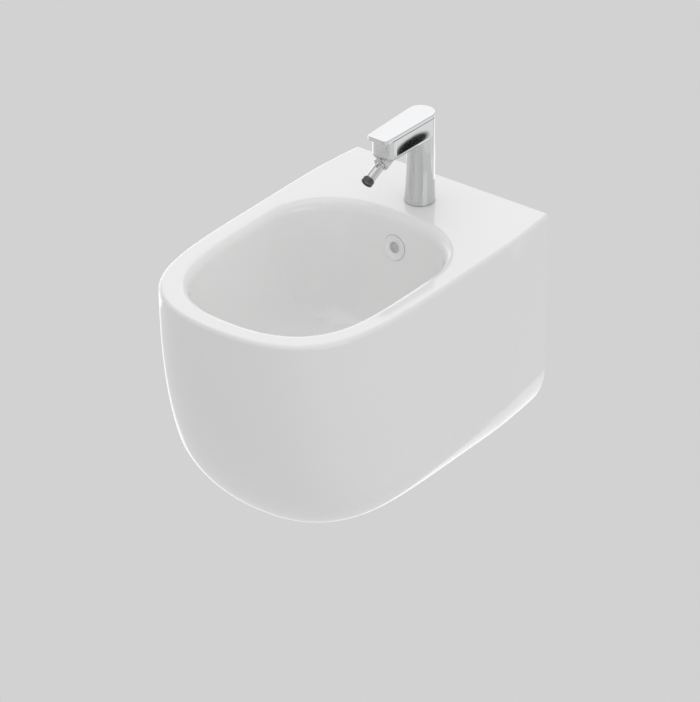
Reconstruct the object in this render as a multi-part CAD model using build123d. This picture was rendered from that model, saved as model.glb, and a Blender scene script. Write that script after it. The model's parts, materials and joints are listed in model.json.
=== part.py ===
from build123d import *
import math
import os

# Wall-hung bidet: a glazed ceramic body with a deck-mounted single-lever mixer, a push-button
# waste and a bottle trap hidden inside. Millimetres. X runs across, -Y away from the wall and
# +Z up. The origin lies on the wall face, midway between the two wall bolts.

os.makedirs("parts", exist_ok=True)

# Ceramic body, outside
body_width = 360.0
body_depth = 545.7
body_height = 349.0
rim_above_bolts = 80.0
wall_narrowing = 8.2
bow_power = 1.45
nose_start = 102.5
nose_power_x = 2.288
nose_power_y = 6.605
bottom_corner = 95.9
nose_pull_back = 120.6
nose_pull_power = 2.16
nose_round_power = 1.6
rim_edge_radius = 6.0
nose_shares = (0.0, 0.2, 0.38, 0.54)
nose_angles = (15, 25, 37, 50, 63, 77, 90)
corner_angles = (0, 12, 26, 41, 57, 74, 90)

# Ceramic body, walls and cavity
ceramic_wall = 10.0
deck_thickness = 18.0
back_wall = 16.0
service_half_width = 62.0
service_top_below_floor = 40.0
service_depth = 170.0
service_corner = 14.0

# Basin
basin_centre_y = -233.5
side_rim_width = 23.0
front_rim_width = 21.7
flat_back_reach = 117.5
lip_radius = 15.0
front_power_x = 2.345
front_power_y = 5.0
back_power_x = 2.833
back_power_y = 1.653
below_basin = 184.0
basin_lean = 0.12
basin_floor_share = 0.42
basin_wall = 9.5
basin_angles = (0, 5, 12, 22, 34, 47, 60, 75, 90)

# Wall fixing
bolt_spacing = 180.0
bolt_clear_radius = 6.5
sleeve_wall = 3.5
sleeve_flange_radius = 17.0
sleeve_flange_thickness = 3.0
bolt_washer_radius = 15.0
bolt_washer_thickness = 2.5
bolt_nut_across_flats = 19.0
bolt_nut_height = 10.0
bolt_nut_bore = 6.1

# Overflow
overflow_below_rim = 52.0
overflow_ring_radius = 19.0
overflow_ring_thickness = 2.4
overflow_ring_proud = 1.0
overflow_dish_depth = 1.7
overflow_mouth_lip = 0.9
overflow_mouth_radius = 8.5
overflow_spigot_radius = 11.0
overflow_spigot_wall = 1.5
overflow_spigot_length = 9.0
overflow_seal_thickness = 1.2
overflow_seal_radius = 18.0
duct_half_width = 12.0
duct_wall = 8.0
duct_depth = 12.0
duct_breakthrough = 2.0

# Waste
waste_y = -240.0
waste_hole_radius = 23.0
waste_recess_radius = 33.0
waste_recess_depth = 3.0
waste_flange_radius = 32.0
waste_flange_thickness = 2.5
waste_flange_edge = 0.9
waste_seal_thickness = 1.5
waste_seal_radius = 30.0
waste_tube_radius = 20.9
waste_tube_wall = 2.0
waste_below_ceramic = 17.0
waste_slot_half_width = 7.0
boss_radius = 38.0
boss_below_floor = 33.0
duct_below_floor = 13.0
duct_mouth_height = 11.0
waste_washer_radius = 31.0
waste_washer_thickness = 4.0
waste_nut_flats = 56.0
waste_nut_height = 9.0
tail_radius = 16.0
tail_wall = 1.5
tail_length = 21.5
tail_floor = 3.0
plug_radius = 30.0
plug_thickness = 5.0
plug_edge_radius = 2.0
plug_stem_radius = 4.0
plug_stem_length = 30.0
plug_seal_radius = 21.5
plug_seal_thickness = 1.5
guide_height = 8.0
guide_arm = 3.0
guide_drop = 14.0
guide_ring_rise = 8.0
guide_sleeve_radius = 7.0
guide_sleeve_length = 28.0
guide_floor = 2.0
spring_radius = 3.0
spring_wire_radius = 0.4
spring_turns = 5

# Bottle trap
trap_top_gap = 7.0
trap_body_radius = 27.0
trap_body_height = 58.0
trap_wall = 3.0
trap_collar_height = 8.0
trap_collar_radius = 21.5
trap_nut_radius = 26.0
trap_nut_height = 11.0
trap_nut_lip = 2.5
trap_seal_height = 3.0
dip_radius = 15.5
dip_length = 76.0
dip_wall = 2.0
cup_radius = 33.0
cup_edge = 6.0
cup_height = 44.0
cup_overlap = 12.0
cup_seal_height = 2.0
outlet_below_top = 24.0
outlet_collar_length = 46.0
outlet_collar_radius = 19.5
outlet_nut_radius = 24.0
outlet_bead_radius = 18.0
outlet_bead_width = 4.0
outlet_free_length = 40.0
outlet_socket_length = 14.0

# Mixer, on the deck behind the basin
tap_y = -75.3
tap_hole_radius = 17.5
column_base_radius = 22.4
column_top_radius = 20.4
column_seal_radius = 20.4
column_seal_thickness = 1.0
column_height = 100.0
column_lean_start = 22.0
column_lean_end = 58.0
column_draw_in = 0.2
spout_top = 134.5
spout_reach = 94.0
spout_front_half_width = 18.0
spout_front_corner = 9.0
spout_lower_edge = 9.0
waterway_radius = 4.5
waterway_overlap = 4.0
inlet_spacing = 16.0
inlet_thread_radius = 5.0
inlet_thread_length = 14.0
inlet_bore_radius = 4.0
inlet_forward = 5.0
tap_stud_radius = 4.0
tap_stud_back = 9.5
tap_stud_engaged = 12.0
tap_stud_length = 66.0
horseshoe_radius = 25.0
horseshoe_slot_half_width = 14.6
horseshoe_gasket_thickness = 3.0
horseshoe_plate_thickness = 2.5
tap_nut_flats = 13.0
tap_nut_height = 11.0

# Cartridge
cartridge_radius = 15.2
cartridge_floor = 2.0
cartridge_height = 18.0
disc_radius = 12.4
disc_thickness = 3.0
rotor_stem_radius = 5.0
cartridge_nut_radius = 16.0
cartridge_nut_height = 8.5
cartridge_port_radius = 3.0
waterway_above_seat = 9.0
turntable_radius = 16.2
turntable_height = 7.0
turntable_top_gap = 0.4

# Lever
lever_gap = 0.8
lever_thickness = 5.6
lever_reach = 104.5
lever_front_half_width = 17.4
lever_front_corner = 7.0
lever_edge = 1.1
lever_lift_angle = 16.0
lever_tail_margin = 1.0
pivot_back = 10.0
pivot_below_seam = 3.6
pivot_pin_radius = 1.5
pivot_pin_length = 23.0
lug_radius = 3.0
lug_half_width = 5.8
lug_room = 0.4

# Swivel nozzle
nozzle_droop = 25.0
ball_radius = 7.5
ball_forward = 90.0
ball_below_seam = 37.5
socket_radius = 11.0
socket_bore = 9.1
socket_back = 16.0
socket_front = 2.2
seat_length = 7.0
retainer_lip = 1.4
retainer_mouth_radius = 7.1
neck_radius = 4.6
barrel_start = 8.2
barrel_radius = 7.2
barrel_end = 33.0
barrel_edge = 1.2
nozzle_bore = 3.4
barrel_bore = 6.0
barrel_floor = 4.0
aerator_ring_radius = 8.6
aerator_ring_edge = 0.6
aerator_thread_radius = 6.9
aerator_thread_length = 2.5
aerator_seal_thickness = 0.8
aerator_seal_bore = 5.0
aerator_insert_radius = 6.6
aerator_insert_length = 2.7
aerator_lip = 1.0
aerator_lip_reach = 1.0
aerator_jet_radius = 0.7
aerator_jet_circle = 4.0
aerator_jets = 8

# Clearances
running_clearance = 0.05
free_clearance = 0.3
push_clearance = 0.1

# How far a cutter runs past the face it opens
past = 1.0

rim_z = rim_above_bolts
underside_z = rim_z - body_height
basin_depth = body_height - below_basin
floor_z = rim_z - basin_depth
flat_half_width = body_width / 2 - side_rim_width
flat_front_reach = body_depth + basin_centre_y - front_rim_width


def rod(radius, bottom, top, x=0.0, y=0.0):
    """Upright cylinder between two heights."""
    height = top - bottom
    return Pos(x, y, bottom) * Cylinder(radius, height, align=(Align.CENTER, Align.CENTER, Align.MIN))


def ring(radius, bore, bottom, top, x=0.0, y=0.0):
    """Upright tube between two heights."""
    return rod(radius, bottom, top, x, y) - rod(bore, bottom - past, top + past, x, y)


def along(plane, radius, start, end):
    """Cylinder along a plane's normal, between two distances from its origin."""
    height = end - start
    centred = Cylinder(radius, height, align=(Align.CENTER, Align.CENTER, Align.MIN))
    return plane * Pos(0, 0, start) * centred


def pipe(plane, radius, bore, start, end):
    """Tube along a plane's normal."""
    return along(plane, radius, start, end) - along(plane, bore, start - past, end + past)


def block(low, high):
    """Box between two corners."""
    size = [b - a for a, b in zip(low, high)]
    return Pos(*low) * Box(*size, align=(Align.MIN, Align.MIN, Align.MIN))


def hexagon(flats, bore, bottom, top, x=0.0, y=0.0):
    """Upright hexagonal nut."""
    outline = RegularPolygon(flats / math.sqrt(3), 6)
    body = Pos(x, y, bottom) * extrude(outline, top - bottom)
    return body - rod(bore, bottom - past, top + past, x, y)


def body_outline(half_width, front, back):
    """Plan outline of the body: bowed sides, round nose and a straight edge at the back."""
    side = []
    for step in range(4):
        share = 1 - step / 4
        bow = half_width - wall_narrowing * share**bow_power
        side.append((bow, -nose_start + (nose_start + back) * share))
    reach = front - nose_start
    for share in nose_shares:
        x = half_width * (1 - share**nose_power_y) ** (1 / nose_power_x)
        side.append((x, -nose_start - reach * share))
    for degrees in nose_angles:
        angle = math.radians(degrees)
        x = half_width * math.cos(angle) ** (2 / nose_power_x)
        y = -nose_start - reach * math.sin(angle) ** (2 / nose_power_y)
        side.append((max(x, 0.0), y))
    left = [(-x, y) for x, y in reversed(side[:-1])]
    points = side + left
    return Spline(*points) + Line(points[-1], points[0])


def body_loft(inset, top_z, back):
    """Body form inset by a wall: straight upper sides, then round bottom corners and nose."""
    corner = bottom_corner - inset
    corner_top = underside_z + bottom_corner
    sections = []

    def level(z, narrowing, shown_depth):
        pulled = 1 - (1 - shown_depth**nose_pull_power) ** (1 / nose_round_power)
        front = body_depth - inset - nose_pull_back * pulled
        outline = body_outline(body_width / 2 - narrowing, front, back)
        sections.append(Pos(0, 0, z) * make_face(outline))

    for step in range(5):
        z = top_z + (corner_top - top_z) * step / 5
        level(z, inset, (rim_z - z) / body_height)
    for degrees in corner_angles:
        angle = math.radians(degrees)
        z = underside_z + inset + corner * (1 - math.sin(angle))
        outer_z = underside_z + bottom_corner * (1 - math.sin(angle))
        level(z, inset + corner * (1 - math.cos(angle)), (rim_z - outer_z) / body_height)
    return loft(sections)


def basin_outline(half_width, front_reach, back_reach):
    """Egg-shaped outline, fuller at the front than at the back."""
    points = []
    for step in range(36):
        angle = math.radians(step * 10)
        cosine, sine = math.cos(angle), math.sin(angle)
        back = sine > 0
        power_x = back_power_x if back else front_power_x
        power_y = back_power_y if back else front_power_y
        reach = back_reach if back else front_reach
        x = math.copysign(half_width * abs(cosine) ** (2 / power_x), cosine)
        y = math.copysign(reach * abs(sine) ** (2 / power_y), sine)
        points.append((x, basin_centre_y + y))
    return Spline(*points, periodic=True)


def basin_profile(degrees):
    """Depth and share of the rim outline for one level of the basin."""
    angle = math.radians(degrees)
    depth_share = math.sin(angle) ** (2 / 3)
    closing = 1 - math.cos(angle) ** 1.25
    share = 1 - basin_lean * depth_share - (1 - basin_floor_share - basin_lean) * closing
    return depth_share, share


def basin_loft(grow):
    """Basin form between the lip and the floor, grown outwards by a wall."""
    sections = []
    for degrees in basin_angles:
        depth_share, share = basin_profile(degrees)
        outline = basin_outline(
            (flat_half_width - lip_radius) * share + grow,
            (flat_front_reach - lip_radius) * share + grow,
            (flat_back_reach - lip_radius) * share + grow,
        )
        z = rim_z - (basin_depth + grow) * depth_share
        sections.append(Pos(0, 0, z) * make_face(outline))
    return loft(sections)


def basin_back_wall(below_rim):
    """Place and lean of the basin's back wall on the centre line at one depth."""
    reach = flat_back_reach - lip_radius
    previous = basin_profile(0)
    for degrees in range(1, 91):
        current = basin_profile(degrees)
        if current[0] * basin_depth >= below_rim:
            break
        previous = current
    rise = (current[0] - previous[0]) * basin_depth
    run = (previous[1] - current[1]) * reach
    part = (below_rim - previous[0] * basin_depth) / rise
    y = basin_centre_y + reach * previous[1] - run * part
    return y, math.degrees(math.atan2(run, rise))


# Shared places
boss_bottom = floor_z - boss_below_floor
service_top = floor_z - service_top_below_floor
wall_y, wall_lean = basin_back_wall(overflow_below_rim)
overflow_plane = Plane(
    origin=(0, wall_y, rim_z - overflow_below_rim),
    x_dir=(1, 0, 0),
    z_dir=(0, -math.cos(math.radians(wall_lean)), math.sin(math.radians(wall_lean))),
)
overflow_seat = overflow_ring_proud - overflow_ring_thickness - overflow_seal_thickness
overflow_hole_radius = overflow_spigot_radius + push_clearance
sleeve_radius = bolt_clear_radius + sleeve_wall
bolt_x = bolt_spacing / 2
deck_bottom = rim_z - deck_thickness
duct_front = basin_centre_y + flat_back_reach - lip_radius + basin_wall - duct_wall / 2
duct_back = duct_front + duct_depth
duct_top = rim_z - overflow_below_rim + overflow_hole_radius
duct_floor = floor_z - duct_below_floor - duct_mouth_height


def ceramic_body():
    """Hollow glazed casting with the basin, overflow duct, waste boss and service opening."""
    outer = body_loft(0.0, rim_z, past)
    top_edges = [
        edge
        for edge in outer.edges().filter_by_position(Axis.Z, rim_z - 0.1, rim_z + 0.1)
        if edge.length > body_depth
    ]
    outer = fillet(top_edges, rim_edge_radius)
    behind_wall_face = block((-body_width, 0, underside_z - past), (body_width, 2 * past, rim_z + past))
    outer = outer - behind_wall_face
    hollow = body_loft(ceramic_wall, deck_bottom, -back_wall)
    hollow = hollow - basin_loft(basin_wall)
    hollow = hollow - rod(boss_radius, boss_bottom, floor_z, 0, waste_y)
    duct_x = duct_half_width + duct_wall
    hollow = hollow - block(
        (-duct_x, duct_front - duct_wall, duct_floor - duct_wall),
        (duct_x, duct_back + duct_wall, deck_bottom + past),
    )
    hollow = hollow - block(
        (-duct_x, waste_y, duct_floor - duct_wall),
        (duct_x, duct_back + duct_wall, floor_z),
    )
    body = outer - hollow - basin_loft(0.0)
    lip = [
        edge
        for edge in body.edges().filter_by_position(Axis.Z, rim_z - 0.1, rim_z + 0.1)
        if edge.bounding_box().max.Y < tap_y and edge.length > flat_half_width
    ]
    body = fillet(lip, lip_radius)
    duct = block((-duct_half_width, duct_front, duct_floor), (duct_half_width, duct_back, duct_top))
    duct_mouth = block(
        (-duct_half_width, waste_y, duct_floor),
        (duct_half_width, duct_back, duct_floor + duct_mouth_height),
    )
    body = body - duct - duct_mouth
    hole_end = wall_y - duct_front - duct_breakthrough
    body = body - along(overflow_plane, overflow_hole_radius, hole_end, past)
    body = body - along(
        overflow_plane, overflow_ring_radius + free_clearance, overflow_seat, overflow_ring_radius
    )
    body = body - rod(waste_hole_radius, boss_bottom - past, floor_z + past, 0, waste_y)
    body = body - rod(waste_recess_radius, floor_z - waste_recess_depth, floor_z + past, 0, waste_y)
    body = body - rod(tap_hole_radius, deck_bottom - past, rim_z + past, 0, tap_y)
    for side in (-1, 1):
        wall_bolt = Plane(origin=(side * bolt_x, 0, 0), x_dir=(1, 0, 0), z_dir=(0, -1, 0))
        body = body - along(wall_bolt, sleeve_radius + push_clearance, -past, back_wall + past)
    rear_service = block(
        (-service_half_width, -back_wall - past, underside_z - past),
        (service_half_width, past, service_top),
    )
    rear_service = fillet(
        rear_service.edges().filter_by(Axis.Y).sort_by(Axis.Z)[-2:], service_corner
    )
    under_service = block(
        (-service_half_width, -service_depth, underside_z - past),
        (service_half_width, past, underside_z + ceramic_wall + past),
    )
    under_service = fillet(
        under_service.edges().filter_by(Axis.Z).sort_by(Axis.Y)[:2], service_corner
    )
    return body - rear_service - under_service


def wall_fixings():
    """Plastic sleeves, washers and nuts for the two wall bolts."""
    sleeves, washers, nuts = [], [], []
    for side in (-1, 1):
        plane = Plane(origin=(side * bolt_x, 0, 0), x_dir=(1, 0, 0), z_dir=(0, -1, 0))
        flange_end = back_wall + sleeve_flange_thickness
        washer_end = flange_end + bolt_washer_thickness
        sleeve = along(plane, sleeve_radius, 0, back_wall + past)
        sleeve = sleeve + along(plane, sleeve_flange_radius, back_wall, flange_end)
        sleeves.append(sleeve - along(plane, bolt_clear_radius, -past, flange_end + past))
        washers.append(pipe(plane, bolt_washer_radius, bolt_clear_radius, flange_end, washer_end))
        outline = RegularPolygon(bolt_nut_across_flats / math.sqrt(3), 6)
        nut = plane * Pos(0, 0, washer_end) * extrude(outline, bolt_nut_height)
        nut_end = washer_end + bolt_nut_height
        nuts.append(nut - along(plane, bolt_nut_bore, 0, nut_end + past))
    return sleeves, washers, nuts


def overflow_parts():
    """Dished chrome ring with a spigot, and the soft ring behind it."""
    seal_front = overflow_seat + overflow_seal_thickness
    front = seal_front + overflow_ring_thickness
    body = along(overflow_plane, overflow_ring_radius, seal_front, front)
    body = body + along(
        overflow_plane, overflow_spigot_radius, overflow_seat - overflow_spigot_length, front
    )
    bore = overflow_spigot_radius - overflow_spigot_wall
    dish_floor = front - overflow_dish_depth
    dish = Cone(
        overflow_mouth_radius,
        overflow_ring_radius - overflow_ring_thickness,
        overflow_dish_depth,
        align=(Align.CENTER, Align.CENTER, Align.MIN),
    )
    body = body - overflow_plane * Pos(0, 0, dish_floor) * dish
    body = body - along(overflow_plane, overflow_mouth_radius, dish_floor - past, front + past)
    body = body - along(
        overflow_plane,
        bore,
        overflow_seat - overflow_spigot_length - past,
        dish_floor - overflow_mouth_lip,
    )
    seal_bore = overflow_spigot_radius + push_clearance
    seal = pipe(overflow_plane, overflow_seal_radius, seal_bore, overflow_seat, seal_front)
    return body, seal


# Heights of the waste, from the recess in the basin floor downwards
recess_z = floor_z - waste_recess_depth
flange_bottom = recess_z + waste_seal_thickness
flange_top = flange_bottom + waste_flange_thickness
waste_bore = waste_tube_radius - waste_tube_wall
tube_bottom = boss_bottom - waste_below_ceramic
tail_bottom = tube_bottom - tail_length
guide_top = flange_bottom - guide_drop
guide_bottom = guide_top - guide_sleeve_length
guide_ring_bottom = guide_bottom + guide_ring_rise
guide_ring_top = guide_ring_bottom + guide_height


def waste_parts():
    """Waste body, seals and locknut that clamp the ceramic."""
    body = rod(waste_flange_radius, flange_bottom, flange_top, 0, waste_y)
    body = body + rod(waste_tube_radius, tube_bottom, flange_bottom, 0, waste_y)
    body = body + rod(tail_radius, tail_bottom, tube_bottom, 0, waste_y)
    floor_top = tube_bottom + tail_floor
    body = body - rod(waste_bore, floor_top, flange_top + past, 0, waste_y)
    body = body - rod(tail_radius - tail_wall, tail_bottom - past, floor_top + past, 0, waste_y)
    body = fillet(
        body.edges()
        .filter_by(GeomType.CIRCLE)
        .filter_by_position(Axis.Z, flange_top - 0.1, flange_top + 0.1),
        waste_flange_edge,
    )
    slot_half = waste_slot_half_width
    slot_bottom, slot_top = duct_floor, duct_floor + duct_mouth_height
    reach = waste_tube_radius + past
    body = body - block(
        (-slot_half, waste_y - reach, slot_bottom), (slot_half, waste_y + reach, slot_top)
    )
    body = body - block(
        (-reach, waste_y - slot_half, slot_bottom), (reach, waste_y + slot_half, slot_top)
    )
    loose_bore = waste_tube_radius + push_clearance
    seal = ring(waste_seal_radius, loose_bore, recess_z, flange_bottom, 0, waste_y)
    washer_bottom = boss_bottom - waste_washer_thickness
    washer = ring(waste_washer_radius, loose_bore, washer_bottom, boss_bottom, 0, waste_y)
    nut = hexagon(
        waste_nut_flats,
        waste_tube_radius + running_clearance,
        washer_bottom - waste_nut_height,
        washer_bottom,
        0,
        waste_y,
    )
    return body, seal, washer, nut


def coil(bottom, top):
    """Wire spring that stands on the guide's floor and lifts the plug's stem."""
    length = top - bottom - 2 * spring_wire_radius
    path = Helix(length / spring_turns, length, spring_radius)
    wire = sweep(Plane(origin=path @ 0, z_dir=path % 0) * Circle(spring_wire_radius), path)
    return Pos(0, waste_y, bottom + spring_wire_radius) * wire


def plug_parts():
    """Push-button plug with its seal, its guide in the waste body and its spring."""
    rest_gap = free_clearance
    seal_bottom = flange_top + rest_gap
    cap_bottom = seal_bottom + plug_seal_thickness
    cap_top = cap_bottom + plug_thickness
    cap = rod(plug_radius, cap_bottom, cap_top, 0, waste_y)
    cap = fillet(
        cap.edges().filter_by(GeomType.CIRCLE).sort_by(Axis.Z)[-1:], plug_edge_radius
    )
    stem_bottom = cap_bottom - plug_stem_length
    plug = cap + rod(plug_stem_radius, stem_bottom, cap_bottom, 0, waste_y)
    sleeve_bore = plug_stem_radius + running_clearance
    seal = ring(plug_seal_radius, sleeve_bore, seal_bottom, cap_bottom, 0, waste_y)
    outer, inner = waste_bore - push_clearance, waste_bore - guide_arm
    guide = ring(outer, inner, guide_ring_bottom, guide_ring_top, 0, waste_y)
    for turn in range(3):
        arm = block(
            (0, -guide_arm / 2, guide_ring_bottom),
            (inner + past, guide_arm / 2, guide_ring_top),
        )
        guide = guide + Pos(0, waste_y, 0) * Rot(0, 0, 30 + 120 * turn) * arm
    guide = guide + rod(guide_sleeve_radius, guide_bottom, guide_top, 0, waste_y)
    guide = guide - rod(sleeve_bore, guide_bottom + guide_floor, guide_top + past, 0, waste_y)
    return plug, seal, guide, coil(guide_bottom + guide_floor, stem_bottom)


# Heights of the trap, below the waste tail
trap_top = tail_bottom + trap_top_gap
collar_top = trap_top + trap_collar_height
body_bottom = trap_top - trap_body_height
cup_top = body_bottom + cup_overlap
cup_bottom = cup_top - cup_height
dip_bottom = trap_top - dip_length
outlet_z = trap_top - outlet_below_top
outlet_plane = Plane(origin=(0, waste_y, outlet_z), x_dir=(1, 0, 0), z_dir=(0, 1, 0))
socket_bore_radius = tail_radius + push_clearance


def trap_parts():
    """Bottle trap: body with a dip tube, cup, coupling nuts, seals and the tube to the wall."""
    skirt = trap_body_radius - trap_wall
    body = rod(trap_body_radius, body_bottom, trap_top, 0, waste_y)
    body = body - rod(skirt, body_bottom - past, trap_top - trap_wall, 0, waste_y)
    body = body + rod(trap_collar_radius, trap_top - trap_wall, collar_top, 0, waste_y)
    body = body + along(outlet_plane, outlet_collar_radius, skirt + past, outlet_collar_length)
    body = body + rod(trap_collar_radius, tail_bottom - trap_wall, trap_top - trap_wall, 0, waste_y)
    body = body + rod(dip_radius, dip_bottom, trap_top, 0, waste_y)
    body = body - rod(dip_radius - dip_wall, dip_bottom - past, trap_top + past, 0, waste_y)
    body = body - rod(socket_bore_radius, tail_bottom, collar_top + past, 0, waste_y)
    outlet_bore = tail_radius - tail_wall
    body = body - along(outlet_plane, outlet_bore, skirt - past, outlet_collar_length + past)
    socket_start = outlet_collar_length - outlet_socket_length
    body = body - along(outlet_plane, socket_bore_radius, socket_start, outlet_collar_length + past)

    seal_top = collar_top + trap_seal_height
    seal = ring(trap_collar_radius, socket_bore_radius, collar_top, seal_top, 0, waste_y)
    nut_top = seal_top + trap_nut_lip
    nut_bottom = nut_top - trap_nut_height
    nut_bore = trap_collar_radius + running_clearance
    nut = rod(trap_nut_radius, nut_bottom, nut_top, 0, waste_y)
    nut = nut - rod(nut_bore, nut_bottom - past, seal_top, 0, waste_y)
    nut = nut - rod(socket_bore_radius, nut_bottom - past, nut_top + past, 0, waste_y)

    cup = rod(cup_radius, cup_bottom, cup_top, 0, waste_y)
    cup_bore = trap_body_radius + running_clearance
    cup_seat = body_bottom - cup_seal_height
    cup = cup - rod(cup_bore, cup_seat, cup_top + past, 0, waste_y)
    cup = cup - rod(skirt, cup_bottom + trap_wall, cup_top, 0, waste_y)
    cup = fillet(cup.edges().filter_by(GeomType.CIRCLE).sort_by(Axis.Z)[:1], cup_edge)
    cup_seal = ring(trap_body_radius, skirt, cup_seat, body_bottom, 0, waste_y)

    side_seal_end = outlet_collar_length + trap_seal_height
    side_seal = pipe(
        outlet_plane, outlet_collar_radius, socket_bore_radius, outlet_collar_length, side_seal_end
    )
    side_nut_end = side_seal_end + trap_nut_lip
    side_nut_start = side_nut_end - trap_nut_height
    side_bore = outlet_collar_radius + running_clearance
    side_nut = along(outlet_plane, outlet_nut_radius, side_nut_start, side_nut_end)
    side_nut = side_nut - along(outlet_plane, side_bore, side_nut_start - past, side_seal_end)
    side_nut = side_nut - along(outlet_plane, socket_bore_radius, 0, side_nut_end + past)
    tube = pipe(outlet_plane, tail_radius, outlet_bore, socket_start, -waste_y)
    bead_end = -waste_y - outlet_free_length
    bead_start = bead_end - outlet_bead_width
    tube = tube + pipe(outlet_plane, outlet_bead_radius, outlet_bore, bead_start, bead_end)
    return body, seal, nut, cup, cup_seal, side_seal, side_nut, tube


# Places of the mixer
column_bottom = rim_z + column_seal_thickness
column_top = rim_z + column_height
seam_z = rim_z + spout_top
axis_y = tap_y + column_base_radius - column_top_radius
droop = math.radians(nozzle_droop)
ball_y = tap_y - ball_forward
ball_z = seam_z - ball_below_seam
nozzle_plane = Plane(
    origin=(0, ball_y, ball_z), x_dir=(1, 0, 0), z_dir=(0, -math.cos(droop), -math.sin(droop))
)
thread_end = barrel_end + aerator_thread_length
inlet_y = tap_y - inlet_forward
stud_y = tap_y + tap_stud_back


def slab_outline(front_reach, front_half_width, corner, back_radius):
    """Plan outline of the spout or lever: round at the column, nearly square in front."""
    front_y = tap_y - front_reach
    side = Polyline(
        (back_radius, axis_y),
        (front_half_width, front_y),
        (-front_half_width, front_y),
        (-back_radius, axis_y),
    )
    back = RadiusArc((-back_radius, axis_y), (back_radius, axis_y), -back_radius)
    face = make_face(side + back)
    if face.bounding_box().max.Y < axis_y + back_radius / 2:
        back = RadiusArc((-back_radius, axis_y), (back_radius, axis_y), back_radius)
        face = make_face(side + back)
    return fillet(face.vertices().sort_by(Axis.Y)[:2], corner)


def mixer_body():
    """Chrome casting: column, spout, cartridge seat, waterways and the ball socket."""
    column = loft(
        [
            Pos(0, tap_y, column_bottom) * make_face(Circle(column_base_radius).edges()),
            Pos(0, (tap_y + axis_y) / 2, column_bottom + column_lean_start)
            * make_face(Circle((column_base_radius + column_top_radius) / 2 - column_draw_in).edges()),
            Pos(0, axis_y, column_bottom + column_lean_end) * make_face(Circle(column_top_radius).edges()),
            Pos(0, axis_y, column_top + past) * make_face(Circle(column_top_radius).edges()),
        ]
    )
    outline = slab_outline(spout_reach, spout_front_half_width, spout_front_corner, column_top_radius)
    spout = Pos(0, 0, column_top) * extrude(outline, seam_z - column_top)
    lower = spout.edges().filter_by_position(Axis.Z, column_top - 0.1, column_top + 0.1)
    lower = [edge for edge in lower if edge.center().Y < axis_y - 1]
    spout = fillet(lower, spout_lower_edge)
    body = column + spout
    socket = along(nozzle_plane, socket_radius, -socket_back, socket_front)
    body = body + socket
    pocket_radius = turntable_radius + free_clearance
    nut_seat = column_top + cartridge_height
    nut_top = nut_seat + cartridge_nut_height
    body = body - rod(cartridge_radius + push_clearance, column_top, nut_seat + past, 0, axis_y)
    body = body - rod(cartridge_nut_radius + push_clearance, nut_seat, seam_z + past, 0, axis_y)
    body = body - rod(pocket_radius, nut_top, seam_z + past, 0, axis_y)
    for side in (-1, 1):
        x = side * inlet_spacing / 2
        thread_top = column_bottom + inlet_thread_length
        body = body - rod(inlet_thread_radius, column_bottom - past, thread_top, x, inlet_y)
        body = body - rod(inlet_bore_radius, column_bottom, column_top + past, x, inlet_y)
    body = body - along(nozzle_plane, socket_bore, -seat_length, socket_front + past)
    body = body - along(nozzle_plane, waterway_radius, -socket_back - 2 * waterway_overlap, 0)
    waterway = Plane(
        origin=(0, axis_y, column_top + waterway_above_seat), x_dir=(1, 0, 0), z_dir=(0, -1, 0)
    )
    waterway_end = ball_forward - socket_back + waterway_overlap
    body = body - along(waterway, waterway_radius, 0, waterway_end)
    stud_bore = tap_stud_radius + running_clearance
    stud_top = column_bottom + tap_stud_engaged
    body = body - rod(stud_bore, column_bottom - past, stud_top, 0, stud_y)
    return body


# Heights inside the cartridge seat
cartridge_top = column_top + cartridge_height
fixed_disc_bottom = column_top + cartridge_floor
moving_disc_bottom = fixed_disc_bottom + disc_thickness
rotor_bottom = moving_disc_bottom + disc_thickness
turntable_top = seam_z - turntable_top_gap
turntable_bottom = turntable_top - turntable_height
pivot_y = axis_y + pivot_back
pivot_z = seam_z - pivot_below_seam
pivot_plane = Plane(origin=(0, pivot_y, pivot_z), x_dir=(0, 1, 0), z_dir=(1, 0, 0))
lug_half = lug_half_width


def cartridge_parts():
    """Cartridge housing with its fixed disc and the nut that holds it down."""
    bore = disc_radius + free_clearance
    housing = rod(cartridge_radius, column_top, cartridge_top, 0, axis_y)
    housing = housing - rod(bore, fixed_disc_bottom, cartridge_top + past, 0, axis_y)
    disc = rod(disc_radius, fixed_disc_bottom, moving_disc_bottom, 0, axis_y)
    for side in (-1, 1):
        x = side * inlet_spacing / 2
        port = rod(cartridge_port_radius, column_top - past, moving_disc_bottom + past, x, inlet_y)
        housing = housing - port
        disc = disc - port
    front_port = Plane(
        origin=(0, axis_y, column_top + waterway_above_seat), x_dir=(1, 0, 0), z_dir=(0, -1, 0)
    )
    housing = housing - along(front_port, cartridge_port_radius, 0, cartridge_radius + past)
    nut_top = cartridge_top + cartridge_nut_height
    nut = ring(
        cartridge_nut_radius, rotor_stem_radius + free_clearance, cartridge_top, nut_top, 0, axis_y
    )
    return housing, disc, nut


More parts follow.
